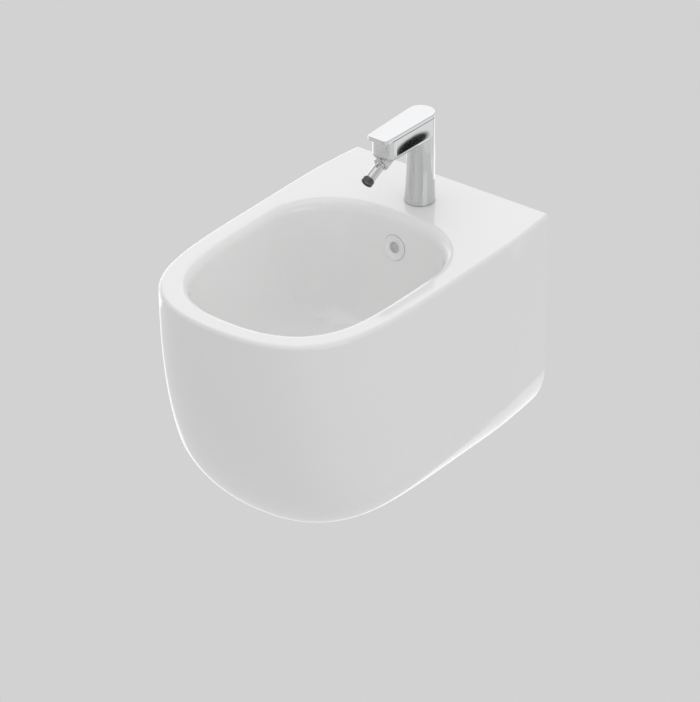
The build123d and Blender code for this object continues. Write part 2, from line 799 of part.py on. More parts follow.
def turning_parts():
    """Moving disc, rotor with its turntable, and the pin that carries the lever."""
    disc = rod(disc_radius, moving_disc_bottom, rotor_bottom, 0, axis_y)
    disc = disc - rod(cartridge_port_radius, moving_disc_bottom - past, rotor_bottom + past, 0, axis_y)
    rotor = rod(disc_radius, rotor_bottom, cartridge_top - free_clearance, 0, axis_y)
    rotor = rotor + rod(rotor_stem_radius, rotor_bottom, turntable_bottom + past, 0, axis_y)
    rotor = rotor + rod(turntable_radius, turntable_bottom, turntable_top, 0, axis_y)
    slot_half = lug_half + lug_room
    sway = (lever_gap + pivot_below_seam) * math.sin(math.radians(lever_lift_angle))
    slot_reach = lug_radius + lug_room + sway
    rotor = rotor - block(
        (-slot_half, pivot_y - slot_reach, turntable_bottom - past),
        (slot_half, pivot_y + slot_reach, turntable_top + past),
    )
    pin_half = pivot_pin_length / 2
    rotor = rotor - along(pivot_plane, pivot_pin_radius + running_clearance, -pin_half, pin_half)
    pin = along(pivot_plane, pivot_pin_radius, -pin_half, pin_half)
    return disc, rotor, pin


def lever():
    """Flat lever plate with the lug that hangs on the pin and a tail cut clear of the body."""
    bottom = seam_z + lever_gap
    outline = slab_outline(lever_reach, lever_front_half_width, lever_front_corner, column_top_radius)
    plate = Pos(0, 0, bottom) * extrude(outline, lever_thickness)
    tilt = math.radians(lever_lift_angle + lever_tail_margin)
    tail = Plane(origin=(0, pivot_y, bottom), x_dir=(1, 0, 0), z_dir=(0, math.sin(tilt), -math.cos(tilt)))
    wide = 4 * column_top_radius
    cutter = tail * Box(wide, wide, wide, align=(Align.CENTER, Align.CENTER, Align.MIN))
    cutter = cutter & block((-wide, pivot_y, bottom - past), (wide, wide, bottom + wide))
    plate = plate - cutter
    top_z = bottom + lever_thickness
    top = plate.edges().filter_by_position(Axis.Z, top_z - 0.1, top_z + 0.1)
    plate = fillet(top, lever_edge)
    lug = along(pivot_plane, lug_radius, -lug_half, lug_half)
    lug = lug + block(
        (-lug_half, pivot_y - lug_radius, pivot_z), (lug_half, pivot_y + lug_radius / 2, bottom + past)
    )
    plate = plate + lug
    pin_hole = along(
        pivot_plane, pivot_pin_radius + running_clearance, -lug_half - past, lug_half + past
    )
    return plate - pin_hole


def nozzle_parts():
    """Ball seat, retaining ring, ball with its barrel, and the aerator screwed on the end."""
    seat = along(nozzle_plane, socket_bore - push_clearance, -seat_length, 0)
    ball_room = Pos(0, ball_y, ball_z) * Sphere(ball_radius + running_clearance)
    seat = seat - ball_room - along(nozzle_plane, waterway_radius, -socket_back, 0)
    retainer_end = socket_front + retainer_lip
    retainer = along(nozzle_plane, socket_radius, socket_front, retainer_end)
    retainer = retainer + along(nozzle_plane, socket_bore - push_clearance, free_clearance, retainer_end)
    retainer = retainer - Pos(0, ball_y, ball_z) * Sphere(ball_radius + free_clearance)
    retainer = retainer - along(nozzle_plane, retainer_mouth_radius, 0, retainer_end + past)
    ball = Pos(0, ball_y, ball_z) * Sphere(ball_radius)
    nozzle = ball + along(nozzle_plane, neck_radius, 0, barrel_start + past)
    barrel = along(nozzle_plane, barrel_radius, barrel_start, barrel_end)
    barrel = chamfer(barrel.edges().filter_by(GeomType.CIRCLE).sort_by(Axis.Y)[-1:], barrel_edge)
    nozzle = nozzle + barrel + along(nozzle_plane, aerator_thread_radius, barrel_end - past, thread_end)
    nozzle = nozzle - along(nozzle_plane, nozzle_bore, -ball_radius - past, barrel_end)
    nozzle = nozzle - along(nozzle_plane, barrel_bore, barrel_start + barrel_floor, thread_end + past)
    return seat, retainer, nozzle


def aerator_parts():
    """Aerator: knob ring, perforated insert and the flat seal behind it."""
    insert_start = thread_end + aerator_seal_thickness
    insert_end = insert_start + aerator_insert_length
    ring_end = insert_end + aerator_lip
    collar = along(nozzle_plane, aerator_ring_radius, barrel_end, ring_end)
    collar = fillet(collar.edges().filter_by(GeomType.CIRCLE), aerator_ring_edge)
    thread_bore = aerator_thread_radius + running_clearance
    insert_bore = aerator_insert_radius + running_clearance
    mouth = aerator_insert_radius - aerator_lip_reach
    collar = collar - along(nozzle_plane, thread_bore, barrel_end - past, thread_end)
    collar = collar - along(nozzle_plane, insert_bore, barrel_end, insert_end)
    collar = collar - along(nozzle_plane, mouth, barrel_end, ring_end + past)
    insert = along(nozzle_plane, aerator_insert_radius, insert_start, insert_end)
    for jet in range(aerator_jets):
        turned = Rot(0, 0, 360 * jet / aerator_jets) * Pos(aerator_jet_circle, 0, insert_start)
        hole = Cylinder(aerator_jet_radius, 3 * aerator_insert_length)
        insert = insert - nozzle_plane * turned * hole
    seal = pipe(nozzle_plane, aerator_insert_radius, aerator_seal_bore, thread_end, insert_start)
    return collar, insert, seal


def deck_fixing_parts():
    """Base seal, stud, horseshoe gasket and plate, and the nut under the deck."""
    base_seal = ring(column_seal_radius, tap_hole_radius, rim_z, column_bottom, 0, tap_y)
    stud_top = column_bottom + tap_stud_engaged
    stud = rod(tap_stud_radius, stud_top - tap_stud_length, stud_top, 0, stud_y)
    gasket_bottom = deck_bottom - horseshoe_gasket_thickness
    plate_bottom = gasket_bottom - horseshoe_plate_thickness
    slot_back = stud_y - 2 * tap_stud_radius
    layers = []
    for bottom, top in ((gasket_bottom, deck_bottom), (plate_bottom, gasket_bottom)):
        layer = rod(horseshoe_radius, bottom, top, 0, tap_y)
        layer = layer - rod(tap_stud_radius + push_clearance, bottom - past, top + past, 0, stud_y)
        slot = block(
            (-horseshoe_slot_half_width, tap_y - horseshoe_radius - past, bottom - past),
            (horseshoe_slot_half_width, slot_back, top + past),
        )
        layers.append(layer - slot)
    bore = tap_stud_radius + running_clearance
    nut = hexagon(tap_nut_flats, bore, plate_bottom - tap_nut_height, plate_bottom, 0, stud_y)
    return base_seal, stud, layers[0], layers[1], nut


def solids_of(shape):
    """A node's solids, as one compound where it has several."""
    if isinstance(shape, (list, tuple)):
        return Compound(children=[Part(item.wrapped) for item in shape])
    return shape


def build():
    nodes = {"ceramic_body": ceramic_body()}
    sleeves, washers, nuts = wall_fixings()
    nodes["wall_bolt_sleeves"] = sleeves
    nodes["wall_bolt_washers"] = washers
    nodes["wall_bolt_nuts"] = nuts
    nodes["overflow_ring"], nodes["overflow_seal"] = overflow_parts()
    names = ("waste_body", "waste_flange_seal", "waste_back_washer", "waste_locknut")
    nodes.update(zip(names, waste_parts()))
    nodes.update(zip(("waste_plug", "waste_plug_seal", "plug_guide", "plug_spring"), plug_parts()))
    names = (
        "trap_body",
        "trap_inlet_seal",
        "trap_inlet_nut",
        "trap_cup",
        "trap_cup_seal",
        "trap_outlet_seal",
        "trap_outlet_nut",
        "trap_outlet_tube",
    )
    nodes.update(zip(names, trap_parts()))
    nodes["mixer_body"] = mixer_body()
    nodes.update(zip(("cartridge_housing", "cartridge_fixed_disc", "cartridge_nut"), cartridge_parts()))
    nodes.update(zip(("cartridge_moving_disc", "lever_turntable", "lever_pin"), turning_parts()))
    nodes["lever"] = lever()
    nodes.update(zip(("ball_seat", "ball_retainer", "nozzle"), nozzle_parts()))
    nodes.update(zip(("aerator_ring", "aerator_insert", "aerator_seal"), aerator_parts()))
    names = ("mixer_base_seal", "mixer_stud", "mixer_gasket", "mixer_clamp_plate", "mixer_stud_nut")
    nodes.update(zip(names, deck_fixing_parts()))
    for name, shape in nodes.items():
        export_step(solids_of(shape), f"parts/{name}.step")
    print(len(nodes), "nodes written")


build()
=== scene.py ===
import json
import logging
import math
from dataclasses import dataclass, field
from enum import Enum
from typing import Any, Callable, Iterable, Sequence

import bmesh
import bpy
from mathutils import Matrix, Vector

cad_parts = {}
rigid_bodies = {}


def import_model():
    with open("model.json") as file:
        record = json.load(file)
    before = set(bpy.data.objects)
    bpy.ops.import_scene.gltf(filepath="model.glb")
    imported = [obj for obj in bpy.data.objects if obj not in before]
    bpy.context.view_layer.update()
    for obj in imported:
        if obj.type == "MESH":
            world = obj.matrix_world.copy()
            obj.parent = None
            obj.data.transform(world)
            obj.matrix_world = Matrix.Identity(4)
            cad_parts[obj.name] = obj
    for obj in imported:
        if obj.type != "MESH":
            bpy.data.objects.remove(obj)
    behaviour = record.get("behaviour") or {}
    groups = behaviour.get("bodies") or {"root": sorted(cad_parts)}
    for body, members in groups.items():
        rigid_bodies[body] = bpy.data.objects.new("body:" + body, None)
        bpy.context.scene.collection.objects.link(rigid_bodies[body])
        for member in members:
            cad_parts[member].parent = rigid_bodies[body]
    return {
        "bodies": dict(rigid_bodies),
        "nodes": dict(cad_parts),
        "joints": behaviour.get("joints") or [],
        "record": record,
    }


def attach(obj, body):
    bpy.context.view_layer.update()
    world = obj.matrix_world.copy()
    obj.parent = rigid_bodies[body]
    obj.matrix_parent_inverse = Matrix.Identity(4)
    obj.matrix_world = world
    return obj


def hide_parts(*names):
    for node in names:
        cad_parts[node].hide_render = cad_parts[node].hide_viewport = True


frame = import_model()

logging.basicConfig(level=logging.INFO, format="%(message)s")
log = logging.getLogger("bidet")

MM = 0.001
NEAR = 0.01  # Millimetres from a plane within which an edge counts as lying in it.
MERGE = 0.0005  # Millimetres within which a form's own doubled vertices are merged.
UP, DOWN = (0, 0, 1), (0, 0, -1)
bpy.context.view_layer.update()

Place = Callable[[float, float], tuple[float, float, float]]


class Finish(Enum):
    """The material slots of the record."""

    GLAZE = "white_glaze"
    CHROME = "chrome"
    DARK_CHROME = "dark_chrome"
    RUBBER = "rubber_seal"
    WHITE_PLASTIC = "white_plastic"
    GREY_PLASTIC = "grey_plastic"
    CERAMIC_DISC = "ceramic_disc"
    BRASS = "raw_brass"
    STEEL = "plain_steel"


class Body(Enum):
    """The rigid bodies of the frame."""

    BIDET = "bidet"
    TURNTABLE = "turntable"
    LEVER = "lever"
    NOZZLE_SEAT = "nozzle_seat"
    NOZZLE = "nozzle"
    PLUG = "plug"


def operator(name: str) -> Callable[["Value", Any], "Value"]:
    """Makes a method that joins two values by one Math node."""

    def join(first: "Value", second: Any) -> "Value":
        """The joined value."""
        return first.shader.node("ShaderNodeMath", {"operation": name}, (first, second))

    return join


@dataclass(frozen=True)
class Value:
    """A node socket that takes part in Python arithmetic."""

    shader: "Shader"
    socket: Any
    __add__ = operator("ADD")
    __sub__ = operator("SUBTRACT")
    __mul__ = operator("MULTIPLY")
    at_most = operator("MINIMUM")


class Shader:
    """A material or a world under construction."""

    def __init__(self, owner: bpy.types.Material | bpy.types.World, output: str) -> None:
        """Starts an empty node tree with its output.

        Args:
            owner: The material or world that holds the tree.
            output: The type of its output node.
        """
        owner.use_nodes = True
        self.owner = owner
        self.tree = owner.node_tree
        self.tree.nodes.clear()
        self.output = self.tree.nodes.new(output)

    @classmethod
    def of_material(cls, name: str) -> "Shader":
        """Starts a new material."""
        return cls(bpy.data.materials.new(name), "ShaderNodeOutputMaterial")

    @classmethod
    def of_world(cls, name: str) -> "Shader":
        """Starts a new world."""
        return cls(bpy.data.worlds.new(name), "ShaderNodeOutputWorld")

    def show(self, shaded: Value) -> None:
        """Joins a shader to the output."""
        self.tree.links.new(shaded.socket, self.output.inputs["Surface"])

    def node(
        self, kind: str, settings: dict[str, Any] | None = None,
        values: dict[Any, Any] | Sequence[Any] = (), output: int | str = 0,
    ) -> Value:
        """Makes one node, sets it up and joins it.

        Args:
            kind: The node's type.
            settings: Properties that are set before its sockets; "stops" fills a ramp.
            values: Socket name or number to value or link, or a sequence in socket order.
            output: The output socket that is handed back.

        Returns:
            The chosen output.
        """
        made = self.tree.nodes.new(kind)
        for key, setting in (settings or {}).items():
            if key == "stops":
                self._fill_ramp(made, setting)
            else:
                setattr(made, key, setting)
        pairs = values.items() if isinstance(values, dict) else enumerate(values)
        for key, value in pairs:
            if isinstance(value, Value):
                self.tree.links.new(value.socket, made.inputs[key])
            else:
                made.inputs[key].default_value = value
        return Value(self, made.outputs[output])

    @staticmethod
    def _fill_ramp(made: Any, stops: Sequence[tuple[float, float]]) -> None:
        """Sets a ramp's grey stops, each a place and a level."""
        elements = made.color_ramp.elements
        while len(elements) < len(stops):
            elements.new(0.5)
        for element, (place, level) in zip(elements, stops):
            element.position = place
            element.color = (level, level, level, 1.0)

    def coordinates(self) -> Value:
        """Object coordinates, in metres in the object's own frame."""
        return self.node("ShaderNodeTexCoord", output="Object")

    def noise(self, scale: float, detail: float = 2.0, stretch: Sequence[float] = (1, 1, 1)) -> Value:
        """Noise over the object.

        Args:
            scale: Features per metre.
            detail: Octaves of the noise.
            stretch: Scale along each axis.

        Returns:
            The noise value, around one half.
        """
        mapped = self.node("ShaderNodeMapping", None, {"Vector": self.coordinates(), "Scale": stretch})
        return self.node(
            "ShaderNodeTexNoise", None, {"Vector": mapped, "Scale": scale, "Detail": detail}
        )

    def ramp(self, value: Value, *stops: tuple[float, float]) -> Value:
        """Maps a value through grey stops."""
        return self.node("ShaderNodeValToRGB", {"stops": stops}, {"Fac": value})

    def mix(self, factor: Value | float, first: Sequence[float], second: Sequence[float]) -> Value:
        """Mixes two colours by a factor."""
        return self.node(
            "ShaderNodeMix", {"data_type": "RGBA"}, {0: factor, 6: (*first, 1.0), 7: (*second, 1.0)},
            output=2,
        )

    def bump(self, height: Value, depth: float, strength: float = 1.0) -> Value:
        """Bump from a height, with its depth in metres."""
        return self.node(
            "ShaderNodeBump", None, {"Height": height, "Distance": depth, "Strength": strength}
        )

    def surface(self, **values: Any) -> bpy.types.Material:
        """Adds the surface shader and joins it to the output.

        Args:
            values: Socket names of the surface shader, with spaces as underscores.

        Returns:
            The finished material.
        """
        sockets = {name.replace("_", " "): value for name, value in values.items()}
        self.show(self.node("ShaderNodeBsdfPrincipled", None, sockets))
        return self.owner


@dataclass(frozen=True)
class Glaze:
    """Fired white glaze over vitreous china."""

    light: tuple[float, float, float] = (0.93, 0.93, 0.926)
    deep: tuple[float, float, float] = (0.91, 0.912, 0.908)
    roughness: float = 0.07
    ior: float = 1.75
    wave_depth: float = 0.00006
    pool_scale: float = 9.0
    haze_scale: float = 30.0
    haze: float = 0.03
    peel_scale: float = 45.0
    ripple_scale: float = 240.0
    ripple: float = 0.12
    speck_scale: float = 900.0
    speck_depth: float = 0.3
    speck_stops: tuple[tuple[float, float], ...] = ((0.0, 1.0), (0.24, 1.0), (0.27, 0.0))

    def material(self) -> bpy.types.Material:
        """Builds the finish: pooled tone, faint orange peel and pinhole specks."""
        shader = Shader.of_material("glaze")
        pooled = shader.noise(self.pool_scale, 3.0)
        speck = shader.ramp(shader.noise(self.speck_scale, 1.0), *self.speck_stops)
        tone = shader.mix(pooled, self.light, self.deep)
        ripple = shader.noise(self.ripple_scale, 1.0) * self.ripple
        peel = shader.noise(self.peel_scale) + ripple - speck * self.speck_depth
        rough = shader.noise(self.haze_scale) * self.haze + self.roughness
        return shader.surface(
            Base_Color=tone, Roughness=rough, IOR=self.ior,
            Normal=shader.bump(peel, self.wave_depth, 0.5),
        )


@dataclass(frozen=True)
class Metal:
    """A metal finish with polish haze or tool marks."""

    name: str
    colour: tuple[float, float, float]
    shade: tuple[float, float, float]
    roughness: float
    grain: float = 0.0
    grain_stretch: tuple[float, float, float] = (1.0, 1.0, 1.0)
    depth: float = 0.00002
    haze_scale: float = 35.0
    haze_share: float = 0.6
    line_scale: float = 420.0
    line_height: float = 0.2
    grain_height: float = 8.0

    def material(self) -> bpy.types.Material:
        """Builds the finish: haze in the polish, grain lines and faint waviness."""
        shader = Shader.of_material(self.name)
        haze = shader.noise(self.haze_scale, 3.0)
        lines = shader.noise(self.line_scale, stretch=self.grain_stretch)
        tone = shader.mix(haze, self.colour, self.shade)
        base = self.roughness * self.haze_share
        rough = haze * base + lines * self.grain + base
        height = lines * (self.line_height + self.grain * self.grain_height) + haze
        return shader.surface(
            Base_Color=tone, Metallic=1.0, Roughness=rough, Normal=shader.bump(height, self.depth, 0.35)
        )


@dataclass(frozen=True)
class Moulded:
    """Moulded plastic, rubber or pressed ceramic."""

    name: str
    colour: tuple[float, float, float]
    shade: tuple[float, float, float]
    roughness: float
    texture: float = 600.0
    depth: float = 0.00004
    slow_scale: float = 25.0
    fine_share: float = 0.3
    fine_haze: float = 0.12
    slow_haze: float = 0.08

    def material(self) -> bpy.types.Material:
        """Builds the finish: a fine moulded texture over a slow change of tone."""
        shader = Shader.of_material(self.name)
        fine = shader.noise(self.texture, 3.0)
        slow = shader.noise(self.slow_scale)
        factor = slow * (1 - self.fine_share) + fine * self.fine_share
        tone = shader.mix(factor, self.colour, self.shade)
        rough = fine * self.fine_haze + slow * self.slow_haze + self.roughness
        return shader.surface(
            Base_Color=tone, Roughness=rough, Normal=shader.bump(fine, self.depth, 0.5)
        )


class Palette:
    """The finishes by material slot, each made when it is first asked for."""

    finishes: dict[Finish, Any] = {
        Finish.GLAZE: Glaze(),
        Finish.CHROME: Metal("chrome", (0.68, 0.683, 0.69), (0.64, 0.643, 0.65), 0.035),
        Finish.DARK_CHROME: Metal("dark_chrome", (0.12, 0.12, 0.123), (0.09, 0.09, 0.093), 0.09),
        Finish.RUBBER: Moulded("rubber", (0.035, 0.035, 0.036), (0.02, 0.02, 0.021), 0.6),
        Finish.WHITE_PLASTIC: Moulded("white_plastic", (0.78, 0.78, 0.76), (0.72, 0.72, 0.7), 0.32),
        Finish.GREY_PLASTIC: Moulded("grey_plastic", (0.16, 0.165, 0.17), (0.12, 0.125, 0.13), 0.38),
        Finish.CERAMIC_DISC: Moulded("pressed_ceramic", (0.78, 0.74, 0.64), (0.72, 0.68, 0.58), 0.15),
        Finish.BRASS: Metal("brass", (0.78, 0.58, 0.27), (0.66, 0.47, 0.2), 0.26, 0.12, (1, 1, 9)),
        Finish.STEEL: Metal("steel", (0.62, 0.63, 0.64), (0.5, 0.51, 0.52), 0.3, 0.14, (1, 9, 1)),
    }
    # A lighter copy of the chrome, painted light: it makes the overflow ring read brighter than the
    # other chrome.
    lit_chrome_copy = Metal("chrome_painted_lighter", (0.95, 0.95, 0.955), (0.92, 0.92, 0.93), 0.12)
    made: dict[Any, bpy.types.Material] = {}

    @classmethod
    def dress(cls, obj: bpy.types.Object, slot: Finish, finish: Any = None) -> None:
        """Gives an object one finish.

        Args:
            obj: The object.
            slot: Its material slot.
            finish: A finish of its own, where the slot's common one doesn't do.
        """
        finish = finish or cls.finishes[slot]
        if finish not in cls.made:
            cls.made[finish] = finish.material()
        obj.data.materials.clear()
        obj.data.materials.append(cls.made[finish])


class Form:
    """A mesh under construction, in millimetres."""

    def __init__(self) -> None:
        """Starts an empty mesh."""
        self.bm = bmesh.new()

    def sheet(self, columns: int, rows: int, place: Place, closed: bool = False) -> list[Any]:
        """Lays a regular grid over a surface.

        Args:
            columns: Faces across, along the first parameter.
            rows: Faces down, along the second parameter.
            place: Gives the point for two parameters from 0 to 1.
            closed: Whether the first and last column meet.

        Returns:
            The grid's vertices.
        """
        made = bmesh.ops.create_grid(self.bm, x_segments=columns, y_segments=rows, size=0.5)["verts"]
        for vert in made:
            vert.co = Vector(place(min(1.0, vert.co.x + 0.5), min(1.0, vert.co.y + 0.5)))
        if closed:
            kept = set(made)
            bmesh.ops.remove_doubles(self.bm, verts=made, dist=MERGE)
            made = [vert for vert in kept if vert.is_valid]
        return made

    def stack(self, rings: Sequence[Sequence[Vector]]) -> None:
        """Lays a closed grid through rings that hold the same number of points."""
        columns, rows = len(rings[0]), len(rings) - 1
        self.sheet(
            columns, rows, lambda u, v: rings[round(v * rows)][round(u * columns) % columns],
            closed=True,
        )

    def circle(self, radius: float, frame: Matrix, count: int = 64) -> list[Any]:
        """Adds a circle of edges in a frame's XY plane and gives back its edges."""
        verts = bmesh.ops.create_circle(self.bm, segments=count, radius=radius, matrix=frame)["verts"]
        return list({edge for vert in verts for edge in vert.link_edges})

    def line(self, points: Iterable[Sequence[float]], closed: bool = False) -> list[Any]:
        """Adds a run of edges through points and gives back its edges."""
        verts = [self.bm.verts.new(point) for point in points]
        pairs = list(zip(verts, verts[1:]))
        if closed:
            pairs.append((verts[-1], verts[0]))
        return [self.bm.edges.new(pair) for pair in pairs]

    def bridge(self, first: Sequence[Any], second: Sequence[Any]) -> list[Any]:
        """Joins two loops of edges with a band of faces."""
        return bmesh.ops.bridge_loops(self.bm, edges=[*first, *second])["faces"]

    def bore(self, sections: Iterable[tuple[float, Matrix]], count: int = 64) -> list[list[Any]]:
        """Joins circles, each a radius in a frame, with bands of faces.

        Args:
            sections: Radius and frame of each circle.
            count: Edges of a circle.

        Returns:
            The edges of each circle.
        """
        loops = [self.circle(radius, frame, count) for radius, frame in sections]
        for pair in zip(loops, loops[1:]):
            self.bridge(*pair)
        return loops

    def fill(self, edges: Sequence[Any], normal: Sequence[float]) -> None:
        """Fills flat loops, with the loops inside them left as holes."""
        bmesh.ops.triangle_fill(self.bm, use_beauty=True, edges=list(edges), normal=normal)

    def weld(self, distance: float = 0.002) -> None:
        """Merges vertices that lie together."""
        bmesh.ops.remove_doubles(self.bm, verts=self.bm.verts, dist=distance)

    def border(self, test: Callable[[Vector], bool]) -> list[Any]:
        """Open edges whose both ends pass a test."""
        return [
            edge
            for edge in self.bm.edges
            if len(edge.link_faces) < 2 and all(test(vert.co) for vert in edge.verts)
        ]

    def level(self, at: float, axis: int = 2) -> list[Any]:
        """Open edges that lie in a plane across an axis."""
        return self.border(lambda co: abs(co[axis] - at) < NEAR)

    def turned(self, profile: Sequence[Sequence[float]], frame: Matrix, steps: int = 72) -> None:
        """Turns a closed profile about a frame's Z axis.

        Args:
            profile: Radius and height of each corner, in order.
            frame: Places the axis.
            steps: Faces round the axis.
        """
        before = set(self.bm.verts)
        verts = [self.bm.verts.new((radius, 0.0, height)) for radius, height in profile]
        edges = [self.bm.edges.new(pair) for pair in zip(verts, verts[1:] + verts[:1])]
        bmesh.ops.spin(
            self.bm, geom=verts + edges, axis=(0, 0, 1), cent=(0, 0, 0), angle=math.tau, steps=steps,
            use_merge=True,
        )
        made = [vert for vert in self.bm.verts if vert not in before]
        bmesh.ops.transform(self.bm, matrix=frame, verts=made)
        bmesh.ops.remove_doubles(self.bm, verts=made, dist=MERGE)

    def finish(self, name: str, slot: Finish, body: Body, node: str, crease: float) -> bpy.types.Object:
        """Turns the mesh into a dressed piece that rides on its body.

        Args:
            name: The piece's name.
            slot: Its finish.
            body: The body that it rides on.
            node: The CAD node that it stands for.
            crease: Angle in degrees past which an edge stays sharp.

        Returns:
            The finished object.
        """
        bmesh.ops.recalc_face_normals(self.bm, faces=self.bm.faces)
        bmesh.ops.scale(self.bm, vec=(MM, MM, MM), verts=self.bm.verts)
        for face in self.bm.faces:
            face.smooth = True
        for edge in self.bm.edges:
            if len(edge.link_faces) == 2 and edge.calc_face_angle(0.0) > math.radians(crease):
                edge.smooth = False
        mesh = bpy.data.meshes.new(name)
        self.bm.to_mesh(mesh)
        self.bm.free()
        if "custom_normal" in mesh.attributes:
            mesh.attributes.remove(mesh.attributes["custom_normal"])
        obj = bpy.data.objects.new(name, mesh)
        bpy.context.scene.collection.objects.link(obj)
        shading = obj.modifiers.new("even_shading", "WEIGHTED_NORMAL")
        shading.keep_sharp = True
        Palette.dress(obj, slot)
        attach(obj, body.value)
        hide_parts(node)
        log.info("%s: %d faces", name, len(mesh.polygons))
        return obj


def upright(x: float, y: float, z: float) -> Matrix:
    """A frame whose Z axis points up."""
    return Matrix.Translation((x, y, z))


def axis_frame(origin: Sequence[float], direction: Sequence[float]) -> Matrix:
    """A frame whose Z axis points along a direction."""
    turn = Vector(direction).to_track_quat("Z", "Y").to_matrix().to_4x4()
    return Matrix.Translation(origin) @ turn


@dataclass
class CeramicBody:
    """The glazed casting: outer form, rim, basin, hollow and its openings. Sizes in millimetres."""

    width: float = 360.0
    depth: float = 545.7
    height: float = 349.0
    rim: float = 80.0
    wall_narrowing: float = 8.2
    bow_power: float = 1.45
    nose_start: float = 102.5
    nose_power_x: float = 2.288
    nose_power_y: float = 6.605
    nose_blend: float = 0.54
    bottom_corner: float = 95.9
    nose_pull_back: float = 120.6
    nose_pull_power: float = 2.16
    nose_round_power: float = 1.6
    edge: float = 6.0
    wall: float = 10.0
    deck: float = 18.0
    back_wall: float = 16.0
    opening_half: float = 62.0
    opening_top: float = 205.0
    opening_depth: float = 170.0
    opening_corner: float = 14.0
    basin_centre: float = -233.5
    basin_half: float = 157.0
    basin_front: float = 290.5
    basin_back: float = 117.5
    lip: float = 15.0
    basin_depth: float = 165.0
    basin_lean: float = 0.12
    basin_floor: float = 0.42
    basin_wall: float = 9.5
    fall_power: float = 1.5
    closing_power: float = 1.25
    row_power: float = 1.45
    column_powers: tuple[float, float] = (1.4, 1.8)
    front_powers: tuple[float, float] = (2.345, 5.0)
    back_powers: tuple[float, float] = (2.833, 1.653)
    waste_y: float = -240.0
    waste_recess: float = 33.0
    waste_recess_depth: float = 3.0
    waste_hole: float = 23.0
    boss: float = 38.0
    boss_drop: float = 33.0
    tap_y: float = -75.3
    tap_hole: float = 17.5
    bolt_x: float = 90.0
    bolt_hole: float = 10.1
    overflow_drop: float = 52.0
    overflow_hole: float = 19.3
    overflow_bore: float = 11.1
    overflow_seat: float = -2.6
    overflow_reach: float = -14.0
    overflow_window: float = 26.0
    overflow_rows: int = 4
    overflow_skin: float = 3.0
    lean_step: float = 0.01
    side_columns: int = 14
    nose_columns: int = 98
    basin_columns: int = 224
    outer_rows: int = 60
    basin_rows: int = 70
    corner_rows: int = 6
    bolt_steps: int = 48
    waste_steps: int = 96
    crease: float = 32.0
    lip_share: float = 0.3
    edge_share: float = 0.2
    corner_share: float = 0.35

    def __post_init__(self) -> None:
        """Works out the shared heights."""
        self.underside = self.rim - self.height
        self.floor = self.rim - self.basin_depth
        self.deck_bottom = self.rim - self.deck
        self.inner_bottom = self.underside + self.wall

    def narrowing_and_front(self, z: float, inset: float) -> tuple[float, float]:
        """Half-width taken off and front reach of the outer form at a height."""
        corner = self.bottom_corner - inset
        low = self.underside + inset
        narrowing, shown = inset, self.rim - z
        if z < low + corner:
            sine = 1 - (z - low) / corner
            sine = min(1.0, max(0.0, sine))
            narrowing += corner * (1 - math.sqrt(1 - sine * sine))
            shown = self.height - self.bottom_corner * (1 - sine)
        share = min(1.0, shown / self.height)
        pulled = 1 - (1 - share**self.nose_pull_power) ** (1 / self.nose_round_power)
        return narrowing, self.depth - inset - self.nose_pull_back * pulled

    def plan_point(self, u: float, narrowing: float, front: float, back: float) -> tuple[float, float]:
        """A point of the plan outline, from the back right corner round the nose to the left."""
        side = 1.0 if u <= 0.5 else -1.0
        run = 2 * min(u, 1 - u)
        half = self.width / 2 - narrowing
        straight = self.side_columns / (self.side_columns + self.nose_columns)
        if run <= straight:
            share = 1 - run / straight
            x = half - self.wall_narrowing * share**self.bow_power
            return side * x, -self.nose_start + (self.nose_start + back) * share
        part = (run - straight) / (1 - straight)
        reach = front - self.nose_start
        if part <= self.nose_blend:
            share = part
            x = half * (1 - share**self.nose_power_y) ** (1 / self.nose_power_x)
        else:
            start = math.asin(self.nose_blend ** (self.nose_power_y / 2))
            turn = (part - self.nose_blend) / (1 - self.nose_blend)
            angle = start + (math.pi / 2 - start) * turn
            x = half * max(0.0, math.cos(angle)) ** (2 / self.nose_power_x)
            share = math.sin(angle) ** (2 / self.nose_power_y)
        return side * x, -self.nose_start - reach * share

    def outer_height(self, v: float, inset: float, top: float) -> tuple[float, float]:
        """Height and edge inset at a share of the way down the outer form."""
        low = self.underside + inset
        corner = self.bottom_corner - inset
        if inset == 0 and v < self.edge_share:
            angle = math.pi / 2 * (1 - v / self.edge_share)
            return self.rim - self.edge * (1 - math.sin(angle)), self.edge * (1 - math.cos(angle))
        start = self.edge_share if inset == 0 else 0.0
        begin = self.rim - self.edge if inset == 0 else top
        if v < 1 - self.corner_share:
            part = (v - start) / (1 - self.corner_share - start)
            return begin + (low + corner - begin) * part, 0.0
        angle = math.pi / 2 * (v - 1 + self.corner_share) / self.corner_share
        return low + corner * (1 - math.sin(angle)), 0.0

    def outer_point(self, inset: float, top: float, back: float) -> Place:
        """Point function of the outer form, or of the hollow inside it."""

        def place(u: float, v: float) -> tuple[float, float, float]:
            """A point from its share round and down."""
            z, edge = self.outer_height(v, inset, top)
            narrowing, front = self.narrowing_and_front(z, inset)
            x, y = self.plan_point(u, narrowing + edge, front - edge, back)
            return x, y, z

        return place

    def basin_turn(self, u: float) -> float:
        """Angle round the basin, spread so that the columns keep an even distance."""
        quarter = min(3, int(4 * u))
        part = 4 * u - quarter
        rising = quarter % 2 == 0
        run = part if rising else 1 - part
        back, front = self.column_powers
        spread = 1 - (1 - run) ** back if quarter < 2 else run**front
        return math.pi / 2 * (quarter + (spread if rising else 1 - spread))

